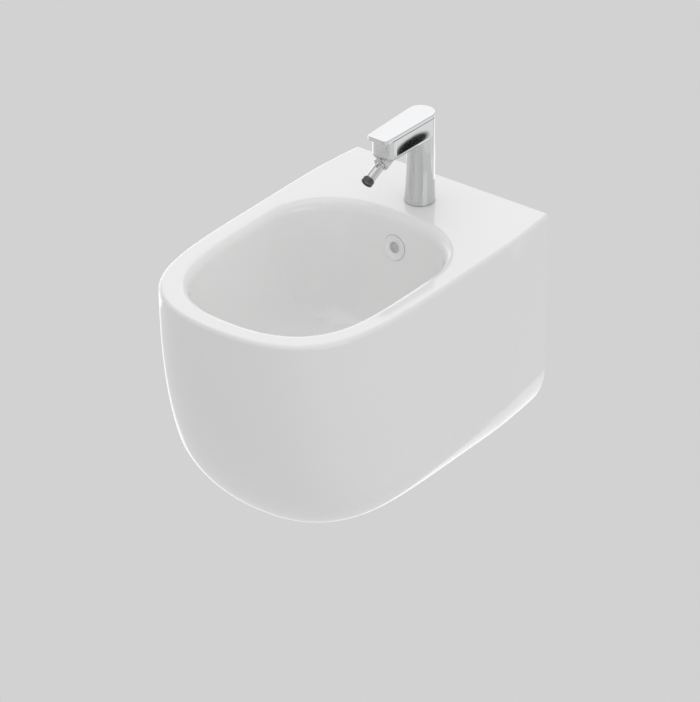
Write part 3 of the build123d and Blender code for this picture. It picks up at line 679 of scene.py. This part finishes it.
    def basin_plan(self, u: float, grow: float, share: float) -> tuple[Vector, Vector, float]:
        """A point of the basin's outline, its outward direction and its reach."""
        angle = self.basin_turn(u)
        cosine, sine = math.cos(angle), math.sin(angle)
        power_x, power_y = self.back_powers if sine > 0 else self.front_powers
        half = (self.basin_half - self.lip) * share + grow
        reach = (self.basin_back if sine > 0 else self.basin_front) - self.lip
        reach = reach * share + grow
        x = math.copysign(half * abs(cosine) ** (2 / power_x), cosine)
        y = math.copysign(reach * abs(sine) ** (2 / power_y), sine)
        across = abs(x / half) ** (power_x - 1) / half * power_x
        along = abs(y / reach) ** (power_y - 1) / reach * power_y
        out = Vector((math.copysign(across, x), math.copysign(along, y))).normalized()
        inwards = math.hypot(x * out.x, y * out.y)
        return Vector((x, self.basin_centre + y)), out, inwards

    def basin_level(self, angle: float) -> tuple[float, float]:
        """Depth share and outline share of the basin's profile at an angle."""
        depth_share = math.sin(angle) ** (1 / self.fall_power)
        closing = 1 - max(0.0, math.cos(angle)) ** self.closing_power
        share = 1 - self.basin_lean * depth_share
        return depth_share, share - (1 - self.basin_floor - self.basin_lean) * closing

    def basin_point(self, u: float, v: float) -> tuple[float, float, float]:
        """A point of the lip and basin from its share round and down."""
        plan, out, reach = self.basin_plan(u, 0.0, 1.0)
        lean = math.atan(self.basin_lean * reach / self.basin_depth)
        tangent = self.lip * math.tan((math.pi / 2 - lean) / 2)
        if v < self.lip_share:
            turn = math.pi / 2 - (math.pi / 2 - lean) * v / self.lip_share
            outwards = tangent - self.lip * math.cos(turn)
            point = plan + out * outwards
            return point.x, point.y, self.rim - self.lip * (1 - math.sin(turn))
        drop = tangent * math.cos(lean)
        start = math.asin((drop / self.basin_depth) ** self.fall_power)
        part = (v - self.lip_share) / (1 - self.lip_share)
        angle = start + (math.pi / 2 - start) * part**self.row_power
        depth_share, share = self.basin_level(angle)
        point, _, _ = self.basin_plan(u, 0.0, share)
        return point.x, point.y, self.rim - self.basin_depth * depth_share

    def shell_point(self, u: float, v: float) -> tuple[float, float, float]:
        """A point of the basin's outer face, inside the hollow."""
        depth = self.basin_depth + self.basin_wall
        start = math.asin((self.deck / depth) ** self.fall_power)
        angle = start + (math.pi / 2 - start) * v**self.row_power
        depth_share, share = self.basin_level(angle)
        point, _, _ = self.basin_plan(u, self.basin_wall, share)
        return point.x, point.y, self.rim - depth * depth_share

    def wall_place(self, below: float) -> tuple[float, float]:
        """Place and lean of the basin's back wall on the centre line at a depth."""
        share_down = below / self.basin_depth
        angle = math.asin(share_down**self.fall_power)
        _, share = self.basin_level(angle)
        lower, nearby = self.basin_level(angle + self.lean_step)
        reach = self.basin_back - self.lip
        run = (share - nearby) * reach
        rise = (lower - share_down) * self.basin_depth
        return self.basin_centre + reach * share, math.atan2(run, rise)

    def on_wall(self, x: float, z: float) -> Vector:
        """The point of the basin's back wall at a place across and a height."""
        share = self.wall_share(z)
        half = (self.basin_half - self.lip) * share
        reach = (self.basin_back - self.lip) * share
        power_x, power_y = self.back_powers
        y = reach * (1 - abs(x / half) ** power_x) ** (1 / power_y)
        return Vector((x, self.basin_centre + y, z))

    def opening(self, back: float, bottom: float) -> tuple[list[Any], list[Any]]:
        """Points of the service opening on the back face and on the bottom face."""
        half, corner = self.opening_half, self.opening_corner
        top = self.rim - self.opening_top
        arc = [math.pi / 2 * step / self.corner_rows for step in range(self.corner_rows + 1)]
        rising = [
            (half - corner + corner * math.cos(a), back, top - corner + corner * math.sin(a))
            for a in arc
        ]
        upper = [(half, back, bottom), *rising, *[(-x, y, z) for x, y, z in reversed(rising)]]
        upper.append((-half, back, bottom))
        front = -self.opening_depth
        running = [
            (-half + corner - corner * math.cos(a), front + corner - corner * math.sin(a), bottom)
            for a in arc
        ]
        lower = [*running, *[(-x, y, z) for x, y, z in reversed(running)]]
        return upper, lower

    def build(self) -> bpy.types.Object:
        """Builds the casting as one closed piece.

        Returns:
            The casting.
        """
        form = Form()
        around = 2 * (self.side_columns + self.nose_columns)
        for inset, top, back, bottom in (
            (0.0, self.rim, 0.0, self.underside),
            (self.wall, self.deck_bottom, -self.back_wall, self.inner_bottom),
        ):
            form.sheet(around, self.outer_rows, self.outer_point(inset, top, back))
            upper, lower = self.opening(back, bottom)
            form.line([*upper, *lower], closed=True)
            narrowing, _ = self.narrowing_and_front(bottom, inset)
            foot = self.width / 2 - narrowing - self.wall_narrowing
            for side in (-1, 1):
                form.line([(side * foot, back, bottom), (side * self.opening_half, back, bottom)])
            crest = self.outer_point(inset, top, back)(0.0, 0.0)[0]
            form.line([(crest, back, top), (-crest, back, top)])
        form.sheet(self.basin_columns, self.basin_rows, self.basin_point, closed=True)
        form.sheet(self.basin_columns, self.basin_rows // 2, self.shell_point, closed=True)
        form.weld()
        self.join_openings(form)
        self.fill_planes(form)
        self.waste_boss(form)
        self.overflow(form)
        form.weld()
        return form.finish("ceramic_casting", Finish.GLAZE, Body.BIDET, "ceramic_body", self.crease)

    def join_openings(self, form: Form) -> None:
        """Walls of the service opening, the bolt holes and the tap hole."""
        rims: list[list[Any]] = []
        for back, bottom in ((0.0, self.underside), (-self.back_wall, self.inner_bottom)):
            upper, lower = self.opening(back, bottom)
            spots = {tuple(round(value, 2) for value in point) for point in (*upper, *lower)}
            rims.append(
                form.border(lambda co, spots=spots: tuple(round(value, 2) for value in co) in spots)
            )
        form.bridge(rims[0], rims[1])
        for side in (-1, 1):
            places = [(side * self.bolt_x, y, 0) for y in (0.0, -self.back_wall)]
            form.bore([(self.bolt_hole, axis_frame(at, (0, 1, 0))) for at in places], self.bolt_steps)
        heights = (self.rim, self.deck_bottom)
        form.bore((self.tap_hole, upright(0, self.tap_y, z)) for z in heights)

    def fill_planes(self, form: Form) -> None:
        """The flat faces: deck, back and bottom, outside and inside."""
        planes = (
            (2, self.rim, UP), (2, self.deck_bottom, DOWN), (1, 0.0, (0, 1, 0)),
            (1, -self.back_wall, (0, -1, 0)), (2, self.underside, DOWN), (2, self.inner_bottom, UP),
        )
        for axis, at, normal in planes:
            form.fill(form.level(at, axis), normal)

    def waste_boss(self, form: Form) -> None:
        """Floor of the basin with the waste's recess, its hole and the boss below."""
        heights = (
            (self.waste_recess, self.floor), (self.waste_recess, self.floor - self.waste_recess_depth),
            (self.waste_hole, self.floor - self.waste_recess_depth),
            (self.waste_hole, self.floor - self.boss_drop), (self.boss, self.floor - self.boss_drop),
            (self.boss, self.floor - self.basin_wall),
        )
        sections = [(radius, upright(0, self.waste_y, z)) for radius, z in heights]
        loops = form.bore(sections, self.waste_steps)
        for at, loop in ((self.floor, loops[0]), (self.floor - self.basin_wall, loops[-1])):
            form.fill(list(set(form.level(at)) | set(loop)), UP)

    def overflow(self, form: Form) -> None:
        """Recess and bore of the overflow in the basin's back wall."""
        y, lean = self.wall_place(self.overflow_drop)
        z = self.rim - self.overflow_drop
        limit = self.overflow_window
        window = []
        for face in form.bm.faces:
            centre = face.calc_center_median()
            if abs(centre.x) < 2 * limit and abs(centre.z - z) < limit:
                across = abs(centre.x) / self.wall_share(centre.z) < limit / self.wall_share(z)
                if across and abs(centre.y - self.on_wall(centre.x, centre.z).y) < self.overflow_skin:
                    window.append(face)
        corners = {vert for face in window for vert in face.verts}
        inner = {vert for vert in corners if all(face in window for face in vert.link_faces)}
        outline = [vert.co.copy() for vert in corners - inner]
        outline.sort(key=lambda co: math.atan2(co.z - z, co.x))
        bmesh.ops.delete(form.bm, geom=window, context="FACES")
        up = Vector((0, math.sin(lean), math.cos(lean)))
        out = Vector((0, -math.cos(lean), math.sin(lean)))
        turns = [math.atan2(co.z - z, co.x) for co in outline]
        spots = [(math.cos(turn), math.sin(turn)) for turn in turns]
        rings = [outline]
        for row in range(1, self.overflow_rows + 1):
            part = row / self.overflow_rows
            ring = []
            for co, (across, above) in zip(outline, spots):
                x = co.x + (self.overflow_hole * across - co.x) * part
                height = co.z + (z + self.overflow_hole * above - co.z) * part
                ring.append(self.on_wall(x, height))
            rings.append(ring)
        middle = Vector((0, y, z))
        for radius, push in (
            (self.overflow_hole, self.overflow_seat), (self.overflow_bore, self.overflow_seat),
            (self.overflow_bore, self.overflow_reach), (0.0, self.overflow_reach),
        ):
            right = Vector((radius, 0, 0))
            rings.append([middle + right * a + up * b * radius + out * push for a, b in spots])
        form.stack(rings)

    def wall_share(self, z: float) -> float:
        """Outline share of the basin's wall at a height."""
        return self.basin_level(math.asin(((self.rim - z) / self.basin_depth) ** self.fall_power))[1]


@dataclass
class Slab:
    """Plan of the spout or the lever: round at the column, nearly square in front."""

    reach: float
    front_half: float
    corner: float
    back: float = 20.4
    tap_y: float = -75.3
    axis_y: float = -73.3
    counts: tuple[int, int, int, int] = (22, 14, 9, 5)

    def __post_init__(self) -> None:
        """Works out the side's direction and the middle of the front corner."""
        front = self.tap_y - self.reach
        run = Vector((self.front_half - self.back, front - self.axis_y)).normalized()
        self.out = Vector((-run.y, run.x))
        self.lean = math.atan2(-self.out.y, self.out.x)
        middle_y = front + self.corner
        along = self.out.y * (middle_y - self.axis_y)
        self.middle = Vector((self.back - (self.corner + along) / self.out.x, middle_y))

    def half(self, inset: float, back_inset: float) -> list[Vector]:
        """Right half of the outline, from the back to the front on the centre line."""
        radius = self.back - back_inset
        cosine = (self.back * math.cos(self.lean) - inset) / radius
        last = -self.lean - math.acos(min(1.0, cosine))
        arc, side, corner, front = self.counts
        points = []
        for step in range(arc):
            angle = math.pi / 2 + (last - math.pi / 2) * step / arc
            points.append(Vector((radius * math.cos(angle), self.axis_y + radius * math.sin(angle))))
        start = Vector((radius * math.cos(last), self.axis_y + radius * math.sin(last)))
        reach = self.corner - inset
        end = self.middle + self.out * reach
        points += [start.lerp(end, step / side) for step in range(side)]
        for step in range(corner):
            angle = -self.lean + (self.lean - math.pi / 2) * step / corner
            spot = Vector((math.cos(angle), math.sin(angle))) * reach
            points.append(self.middle + spot)
        nose = self.middle + Vector((0, -reach))
        points += [nose.lerp(Vector((0, nose.y)), step / front) for step in range(front + 1)]
        return points

    def around(self, inset: float, back_inset: float, z: float) -> list[Vector]:
        """The whole outline at a height."""
        right = self.half(inset, back_inset)
        left = [Vector((-point.x, point.y)) for point in reversed(right[1:-1])]
        return [Vector((point.x, point.y, z)) for point in (*right, *left)]

    def soft_top(self, edge: float, top: float, rows: int) -> list[list[Vector]]:
        """Outlines of a rounded upper edge, from its foot to the top."""
        turns = [math.pi / 2 * step / rows for step in range(rows + 1)]
        places = [(edge * (1 - math.cos(turn)), top - edge * (1 - math.sin(turn))) for turn in turns]
        return [self.around(inset, inset, height) for inset, height in places]

    def disc(self, radius: float, centre_y: float, z: float, inset: float) -> list[Vector]:
        """A circle with its points placed like those of the outline."""
        cosine = (self.back * math.cos(self.lean) - inset) / self.back
        last = -self.lean - math.acos(cosine)
        arc, rest = self.counts[0], sum(self.counts[1:])
        angles = [math.pi / 2 + (last - math.pi / 2) * step / arc for step in range(arc)]
        angles += [last - (last + math.pi / 2) * step / rest for step in range(rest + 1)]
        right = [Vector((radius * math.cos(a), centre_y + radius * math.sin(a), z)) for a in angles]
        return right + [Vector((-point.x, point.y, z)) for point in reversed(right[1:-1])]


@dataclass
class Mixer:
    """Column and spout in one casting, and the lever plate on top. Sizes in millimetres."""

    spout: Slab = field(default_factory=lambda: Slab(94.0, 18.0, 9.0))
    plate: Slab = field(default_factory=lambda: Slab(104.5, 17.4, 7.0))
    bottom: float = 81.0
    base_radius: float = 22.4
    column_top: float = 180.0
    lean_end: float = 58.0
    seam: float = 214.5
    lower_edge: float = 9.0
    top_edge: float = 0.35
    pocket_radius: float = 16.5
    inlet_x: float = 8.0
    inlet_y: float = -80.3
    inlet_radius: float = 5.0
    inlet_depth: float = 14.0
    inlet_steps: int = 40
    socket_radius: float = 11.0
    socket_bore: float = 9.1
    socket_back: float = 16.0
    socket_front: float = 2.2
    socket_edge: float = 0.3
    seat_length: float = 7.0
    ball_room: float = 6.0
    ball_room_end: float = 8.4
    ball: tuple[float, float, float] = (0.0, -165.3, 177.0)
    droop: float = 25.0
    plate_gap: float = 0.8
    plate_thickness: float = 5.6
    plate_edge: float = 1.1
    tail_angle: float = 17.0
    pivot_y: float = -63.3
    pivot_z: float = 210.9
    lug_radius: float = 3.0
    lug_half: float = 5.8
    pin_radius: float = 1.5
    column_rows: int = 16
    lower_rows: int = 10
    top_rows: int = 4
    plate_rows: int = 8
    steps: int = 96
    crease: float = 24.0

    def nozzle_frame(self) -> Matrix:
        """Frame of the ball, with Z along the nozzle."""
        slope = math.radians(self.droop)
        return axis_frame(self.ball, (0, -math.cos(slope), -math.sin(slope)))

    def column_ring(self, z: float) -> list[Vector]:
        """Circle of the leaning column at a height."""
        left = max(0.0, 1 - (z - self.bottom) / self.lean_end)
        radius = self.spout.back + (self.base_radius - self.spout.back) * left**1.92
        centre = self.spout.axis_y + (self.spout.tap_y - self.spout.axis_y) * left**1.455
        return self.spout.disc(radius, centre, z, self.lower_edge)

    def body(self) -> bpy.types.Object:
        """Builds the casting: leaning column, spout with its soft lower edge, socket and pocket.

        Returns:
            The casting.
        """
        form = Form()
        rows = self.column_rows
        rings = [self.column_ring(self.bottom + self.lean_end * step / rows) for step in range(rows + 1)]
        rings.append(self.column_ring(self.column_top))
        for step in range(self.lower_rows + 1):
            angle = math.pi / 2 * step / self.lower_rows
            inset = self.lower_edge * (1 - math.sin(angle))
            height = self.column_top + self.lower_edge * (1 - math.cos(angle))
            rings.append(self.spout.around(inset, 0.0, height))
        rings += self.spout.soft_top(self.top_edge, self.seam, self.top_rows)
        form.stack(rings)
        form.weld()
        heights = (self.seam, self.column_top)
        pocket = [(self.pocket_radius, upright(0, self.spout.axis_y, z)) for z in heights]
        form.bore(pocket, self.steps)
        form.fill(form.level(self.column_top), UP)
        form.fill(form.level(self.seam), UP)
        ends = (self.bottom, self.bottom + self.inlet_depth)
        for side in (-1, 1):
            places = [upright(side * self.inlet_x, self.inlet_y, z) for z in ends]
            loops = form.bore([(self.inlet_radius, place) for place in places], self.inlet_steps)
            form.fill(loops[1], UP)
        form.fill(form.level(self.bottom), DOWN)
        socket = [
            (0.0, -self.socket_back), (self.socket_radius, -self.socket_back),
            (self.socket_radius, self.socket_front - self.socket_edge),
            (self.socket_radius - self.socket_edge, self.socket_front),
            (self.socket_bore, self.socket_front), (self.socket_bore, -self.seat_length),
            (self.ball_room, -self.seat_length), (self.ball_room, -self.ball_room_end),
            (0.0, -self.ball_room_end),
        ]
        form.turned(socket, self.nozzle_frame(), self.steps)
        return form.finish("mixer_casting", Finish.CHROME, Body.BIDET, "mixer_body", self.crease)

    def lever(self) -> bpy.types.Object:
        """Builds the lever plate with its soft upper edge, the cut tail and the lug below.

        Returns:
            The lever.
        """
        form = Form()
        low = self.seam + self.plate_gap
        high = low + self.plate_thickness
        foot = self.plate.around(0.0, 0.0, low)
        form.stack([foot, *self.plate.soft_top(self.plate_edge, high, self.plate_rows)])
        form.fill(form.level(low), DOWN)
        form.fill(form.level(high), UP)
        tilt = math.radians(self.tail_angle)
        whole = [*form.bm.verts, *form.bm.edges, *form.bm.faces]
        bmesh.ops.bisect_plane(
            form.bm, geom=whole, dist=MERGE, plane_co=(0, self.pivot_y, low),
            plane_no=(0, math.sin(tilt), -math.cos(tilt)), clear_outer=True,
        )
        form.weld()
        form.fill(form.border(lambda co: True), (0, math.sin(tilt), -math.cos(tilt)))
        lug = [
            (self.pin_radius, -self.lug_half), (self.lug_radius, -self.lug_half),
            (self.lug_radius, self.lug_half), (self.pin_radius, self.lug_half),
        ]
        form.turned(lug, axis_frame((0, self.pivot_y, self.pivot_z), (1, 0, 0)), self.steps // 2)
        shank = (2 * self.lug_half, self.lug_radius, low + 1 - self.pivot_z - self.pin_radius)
        middle = (0, self.pivot_y - self.lug_radius / 2, self.pivot_z + self.pin_radius + shank[2] / 2)
        cube = bmesh.ops.create_cube(form.bm, size=1.0, matrix=Matrix.Translation(middle))["verts"]
        bmesh.ops.scale(form.bm, vec=shank, verts=cube, space=Matrix.Translation(middle).inverted())
        return form.finish("lever_plate", Finish.CHROME, Body.LEVER, "lever", self.crease)


def soft_corner(radius: float, height: float, edge: float, rise: int = 1) -> list[tuple[float, float]]:
    """Outer corner of a turned profile, cut in two steps.

    Args:
        radius: Radius of the side.
        height: Height of the face.
        edge: Size of the cut.
        rise: Whether the side goes up (1) or down (-1) from the face.

    Returns:
        Points from the face to the side.
    """
    near = 0.3 * edge
    middle = (radius - near, height + rise * near)
    return [(radius - edge, height), middle, (radius, height + rise * edge)]


@dataclass
class Nozzle:
    """Swivel nozzle with its ball, retaining ring and aerator. Sizes in millimetres."""

    frame: Matrix
    ball: float = 7.5
    bore: float = 3.4
    neck: float = 4.6
    barrel_start: float = 8.2
    barrel: float = 7.2
    barrel_end: float = 33.0
    barrel_edge: float = 0.7
    thread: float = 6.9
    thread_end: float = 35.5
    inside: float = 6.0
    inside_start: float = 12.2
    ring: float = 8.6
    ring_end: float = 40.0
    ring_edge: float = 0.6
    ring_flutes: int = 24
    flute_depth: float = 0.22
    flute_steps: int = 8
    mouth: float = 5.6
    insert: float = 6.6
    insert_start: float = 36.3
    insert_end: float = 39.0
    jet: float = 0.7
    jet_circle: float = 4.0
    jets: int = 8
    retainer: float = 11.0
    retainer_start: float = 2.2
    retainer_end: float = 3.6
    retainer_mouth: float = 7.1
    retainer_sleeve: float = 9.0
    retainer_room: float = 7.8
    retainer_edge: float = 0.6
    thread_relief: tuple[float, float] = (1.2, 0.9)
    free: float = 0.05
    ball_rows: int = 16
    room_rows: int = 5
    jet_steps: int = 16
    steps: int = 96
    crease: float = 28.0

    def barrel_piece(self) -> bpy.types.Object:
        """Builds the ball, neck and barrel, bored through."""
        first = math.asin(self.bore / self.ball)
        last = math.pi - math.asin(self.neck / self.ball)
        profile = []
        for step in range(self.ball_rows + 1):
            angle = first + (last - first) * step / self.ball_rows
            profile.append((self.ball * math.sin(angle), -self.ball * math.cos(angle)))
        profile += [
            (self.neck, self.barrel_start),
            *soft_corner(self.barrel, self.barrel_start, self.barrel_edge),
            (self.barrel, self.barrel_end - self.thread_relief[0]),
            (self.thread, self.barrel_end - self.thread_relief[1]), (self.thread, self.thread_end),
            (self.inside, self.thread_end), (self.inside, self.inside_start),
            (self.bore, self.inside_start),
        ]
        form = Form()
        form.turned(profile, self.frame, self.steps)
        return form.finish("nozzle_barrel", Finish.CHROME, Body.NOZZLE, "nozzle", self.crease)

    def retainer_piece(self) -> bpy.types.Object:
        """Builds the ring that holds the ball in its socket."""
        low, edge = self.retainer_start, self.retainer_edge
        first = math.acos(edge / 2 / self.retainer_room)
        last = math.asin(self.retainer_mouth / self.retainer_room)
        profile = [
            (self.retainer_mouth, self.retainer_end),
            *soft_corner(self.retainer, self.retainer_end, edge, -1), (self.retainer, low),
            (self.retainer_sleeve, low), (self.retainer_sleeve, edge / 2),
        ]
        for step in range(self.room_rows + 1):
            angle = first + (last - first) * step / self.room_rows
            profile.append((self.retainer_room * math.sin(angle), self.retainer_room * math.cos(angle)))
        form = Form()
        form.turned(profile, self.frame, self.steps)
        return form.finish(
            "ball_retainer_ring", Finish.CHROME, Body.BIDET, "ball_retainer", self.crease
        )

    def ring_piece(self) -> bpy.types.Object:
        """Builds the fluted ring round the aerator."""
        profile = [
            (self.thread + self.free, self.barrel_end),
            *soft_corner(self.ring, self.barrel_end, self.ring_edge),
            *reversed(soft_corner(self.ring, self.ring_end, self.ring_edge, -1)),
            (self.mouth, self.ring_end), (self.mouth, self.insert_end),
            (self.insert + self.free, self.insert_end), (self.insert + self.free, self.thread_end),
            (self.thread + self.free, self.thread_end),
        ]
        form = Form()
        steps = self.ring_flutes * self.flute_steps
        form.turned(profile, Matrix.Identity(4), steps)
        for vert in form.bm.verts:
            radius = math.hypot(vert.co.x, vert.co.y)
            if radius > self.ring - NEAR:
                turn = math.atan2(vert.co.y, vert.co.x) * self.ring_flutes
                share = 1 - self.flute_depth * (1 + math.cos(turn)) / 2 / radius
                vert.co.xy *= share
        bmesh.ops.transform(form.bm, matrix=self.frame, verts=form.bm.verts)
        return form.finish("aerator_knob", Finish.DARK_CHROME, Body.NOZZLE, "aerator_ring", self.crease)

    def insert_piece(self) -> bpy.types.Object:
        """Builds the perforated insert of the aerator."""
        form = Form()
        ends: list[list[Any]] = []
        for height in (self.insert_start, self.insert_end):
            middle = self.frame @ Matrix.Translation((0, 0, height))
            loops = [form.circle(self.insert, middle, 64)]
            for jet in range(self.jets):
                turn = math.tau * jet / self.jets
                spot = (self.jet_circle * math.cos(turn), self.jet_circle * math.sin(turn), 0)
                loops.append(form.circle(self.jet, middle @ Matrix.Translation(spot), self.jet_steps))
            ends.append(loops)
        for first, second in zip(*ends):
            form.bridge(first, second)
        out = self.frame.to_3x3() @ Vector((0, 0, 1))
        for loops, sign in zip(ends, (-1, 1)):
            form.fill([edge for loop in loops for edge in loop], out * sign)
        return form.finish(
            "aerator_jets", Finish.GREY_PLASTIC, Body.NOZZLE, "aerator_insert", self.crease
        )

    def build(self) -> None:
        """Builds every piece of the nozzle."""
        self.retainer_piece()
        self.barrel_piece()
        self.ring_piece()
        self.insert_piece()


NODE_CREASE = 30.0  # Degrees past which an edge of a copied node stays sharp.


def body_of(node: str) -> Body:
    """The body that a CAD node rides on."""
    for name, nodes in frame["record"]["behaviour"]["bodies"].items():
        if node in nodes:
            return Body(name)
    raise ValueError(f"no body holds {node}")


def smooth_nodes(made: set[str]) -> None:
    """Makes a merged, smooth-shaded copy of each node that has no piece of its own.

    Args:
        made: Nodes that already have a piece.
    """
    for entry in frame["record"]["subparts"]:
        node = entry["node"]
        slot = Finish(entry["material_slot"])
        Palette.dress(frame["nodes"][node], slot)
        if node in made:
            continue
        form = Form()
        form.bm.from_mesh(frame["nodes"][node].data)
        bmesh.ops.scale(form.bm, vec=(1 / MM,) * 3, verts=form.bm.verts)
        form.weld(MERGE)
        piece = form.finish(f"{node}_piece", slot, body_of(node), node, NODE_CREASE)
        # The overflow ring gets the lighter copy of the chrome, painted light.
        if node == "overflow_ring":
            Palette.dress(piece, slot, Palette.lit_chrome_copy)


@dataclass(frozen=True)
class Lamp:
    """One rectangular soft lamp. Sizes in metres, power in watts."""

    name: str
    place: tuple[float, float, float]
    aim: tuple[float, float, float]
    width: float
    height: float
    power: float
    mirrored: bool = True

    def build(self) -> None:
        """Makes the lamp, turned to its aim."""
        data = bpy.data.lights.new(self.name, "AREA")
        data.shape = "RECTANGLE"
        data.size = self.width
        data.size_y = self.height
        data.energy = self.power
        lamp = bpy.data.objects.new(self.name, data)
        lamp.location = self.place
        lamp.rotation_mode = "QUATERNION"
        lamp.rotation_quaternion = (Vector(self.aim) - Vector(self.place)).to_track_quat("-Z", "Y")
        lamp.visible_camera = False
        lamp.visible_glossy = self.mirrored
        bpy.context.scene.collection.objects.link(lamp)


@dataclass
class Studio:
    """Floor, soft light and the camera of the photograph."""

    backdrop: float = 0.645
    mirrored_floor: float = 0.82
    room: float = 0.68
    floor_height: float = -1.6
    floor_size: float = 30.0
    azimuth: float = 37.2217
    elevation: float = 30.1991
    distance: float = 7.0
    scale: float = 0.707047
    image_height: int = 702
    aim: tuple[float, float, float] = (0.0, -0.260, -0.040)
    aim_right: float = 0.012316
    aim_up: float = -0.038723
    sensor: float = 36.0
    # The card is a painted reflection: its dark field puts a dark reflection on the spout's side.
    card_size: tuple[float, float] = (0.24, 0.3)
    card_place: tuple[float, float, float] = (0.605, 0.599, -0.3)
    field_place: tuple[float, float] = (0.6054, 0.5991)
    field_half: tuple[float, float] = (0.0256, 0.048)
    field_slant: float = 1.223
    field_tones: tuple[tuple[float, float], ...] = ((0.0, 0.01), (0.55, 0.015), (1.0, 1.0))
    lamps: tuple[Lamp, ...] = (
        Lamp("overhead", (0.0, -0.3, 2.6), (0, -0.25, 0), 2.4, 2.0, 6.3),
        Lamp("rear_left", (-1.55, 1.75, 1.56), (0, -0.25, 0.06), 2.6, 2.0, 11.4),
        Lamp("right", (2.8, -0.9, 0.5), (0, -0.25, -0.1), 1.8, 1.8, 7.4),
        Lamp("left_rim", (-2.6, 1.2, -0.4), (0, -0.25, -0.1), 3.0, 2.8, 19.0),
        Lamp("under", (0.0, -0.4, -1.5), (0, -0.4, -0.2), 2.0, 2.0, 2.6, mirrored=False),
        Lamp("under_rim", (-0.5, 1.0, -1.45), (0, -0.25, -0.2), 2.8, 1.8, 7.0),
    )

    def build(self) -> None:
        """Makes everything round the object."""
        self.camera()
        self.floor()
        self.card()
        self.world()
        for lamp in self.lamps:
            lamp.build()

    def axes(self) -> tuple[Vector, Vector, Vector]:
        """Directions from the aim to the camera, to its right and up."""
        around, above = math.radians(self.azimuth), math.radians(self.elevation)
        back = Vector(
            (math.sin(around) * math.cos(above), -math.cos(around) * math.cos(above), math.sin(above))
        )
        right = (-back).cross(Vector((0, 0, 1))).normalized()
        return back, right, right.cross(-back)

    def camera(self) -> None:
        """Makes the camera at the photograph's angle and distance."""
        back, right, up = self.axes()
        data = bpy.data.cameras.new("camera")
        data.sensor_width = self.sensor
        data.lens = self.scale * self.distance / MM / self.image_height * self.sensor
        data.clip_end = 100.0
        camera = bpy.data.objects.new("camera", data)
        camera.location = (
            Vector(self.aim) + right * self.aim_right + up * self.aim_up + back * self.distance
        )
        camera.rotation_mode = "QUATERNION"
        camera.rotation_quaternion = (-back).to_track_quat("-Z", "Y")
        bpy.context.scene.collection.objects.link(camera)
        bpy.context.scene.camera = camera

    def floor(self) -> None:
        """Makes the plain pale floor, well below the wall-hung body."""
        shader = Shader.of_material("floor")
        shown = shader.node("ShaderNodeLightPath", output="Is Camera Ray")
        tones = [(tone, tone, tone) for tone in (self.mirrored_floor, self.backdrop)]
        plain = shader.node("ShaderNodeBsdfDiffuse", None, {"Color": (*tones[1], 1)})
        glow = shader.node("ShaderNodeEmission", None, {"Color": shader.mix(shown, *tones)})
        seen = self.seen(shader)
        shader.show(shader.node("ShaderNodeMixShader", None, {0: seen, 1: plain, 2: glow}))
        size = 2 * self.floor_size
        self.plate("floor", (size, size), (0, 0, self.floor_height), shader)

    def card(self) -> None:
        """Makes the card that the spout's side reflects, a painted reflection: light, with a dark
        lens-shaped field.
        """
        shader = Shader.of_material("painted_reflection_card")
        sides = [
            shader.node("ShaderNodeSeparateXYZ", None, [shader.coordinates()], output=axis)
            for axis in ("X", "Y")
        ]
        across = sides[0] - self.field_place[0]
        along = sides[1] - self.field_place[1] - across * self.field_slant
        shares = (across * (1 / self.field_half[0]), along * (1 / self.field_half[1]))
        away = shares[0] * shares[0] + shares[1] * shares[1]
        # Painted reflection tone: dark inside the lens-shaped field, light outside it.
        tone = shader.ramp(away, *self.field_tones)
        shader.show(shader.node("ShaderNodeEmission", None, {"Color": tone}))
        card = self.plate("painted_reflection_card", self.card_size, self.card_place, shader)
        # Seen only by glossy rays, the card paints its reflection without lighting or shading anything.
        for kind in ("camera", "diffuse", "shadow", "transmission"):
            setattr(card, f"visible_{kind}", False)

    @staticmethod
    def plate(
        name: str, size: Sequence[float], place: Sequence[float], shader: Shader
    ) -> bpy.types.Object:
        """Makes one flat level plate that belongs to the studio."""
        form = bmesh.new()
        bmesh.ops.create_grid(form, x_segments=1, y_segments=1, size=0.5)
        bmesh.ops.scale(form, vec=(*size, 1), verts=form.verts)
        bmesh.ops.translate(form, vec=place, verts=form.verts)
        mesh = bpy.data.meshes.new(name)
        form.to_mesh(mesh)
        form.free()
        plate = bpy.data.objects.new(name, mesh)
        bpy.context.scene.collection.objects.link(plate)
        mesh.materials.append(shader.owner)
        return plate

    @staticmethod
    def seen(shader: Shader) -> Value:
        """One where a camera, glossy or transmission ray looks, otherwise zero."""
        rays = [
            shader.node("ShaderNodeLightPath", output=name)
            for name in ("Is Camera Ray", "Is Glossy Ray", "Is Transmission Ray")
        ]
        return (rays[0] + rays[1] + rays[2]).at_most(1.0)

    def world(self) -> None:
        """Makes the even light of the room, with the backdrop's tone for what looks at it."""
        shader = Shader.of_world("room")
        bpy.context.scene.world = shader.owner
        light, shown = [
            shader.node("ShaderNodeBackground", None, {"Color": (tone, tone, tone, 1)})
            for tone in (self.room, self.backdrop)
        ]
        seen = self.seen(shader)
        shader.show(shader.node("ShaderNodeMixShader", None, {0: seen, 1: light, 2: shown}))


def main() -> None:
    """Builds the scene in order."""
    bpy.context.scene.view_settings.view_transform = "Standard"
    CeramicBody().build()
    mixer = Mixer()
    mixer.body()
    mixer.lever()
    Nozzle(mixer.nozzle_frame()).build()
    made = {"ceramic_body", "mixer_body", "lever", "nozzle", "ball_retainer"}
    smooth_nodes(made | {"aerator_ring", "aerator_insert"})
    Studio().build()


if __name__ == "__main__":
    main()
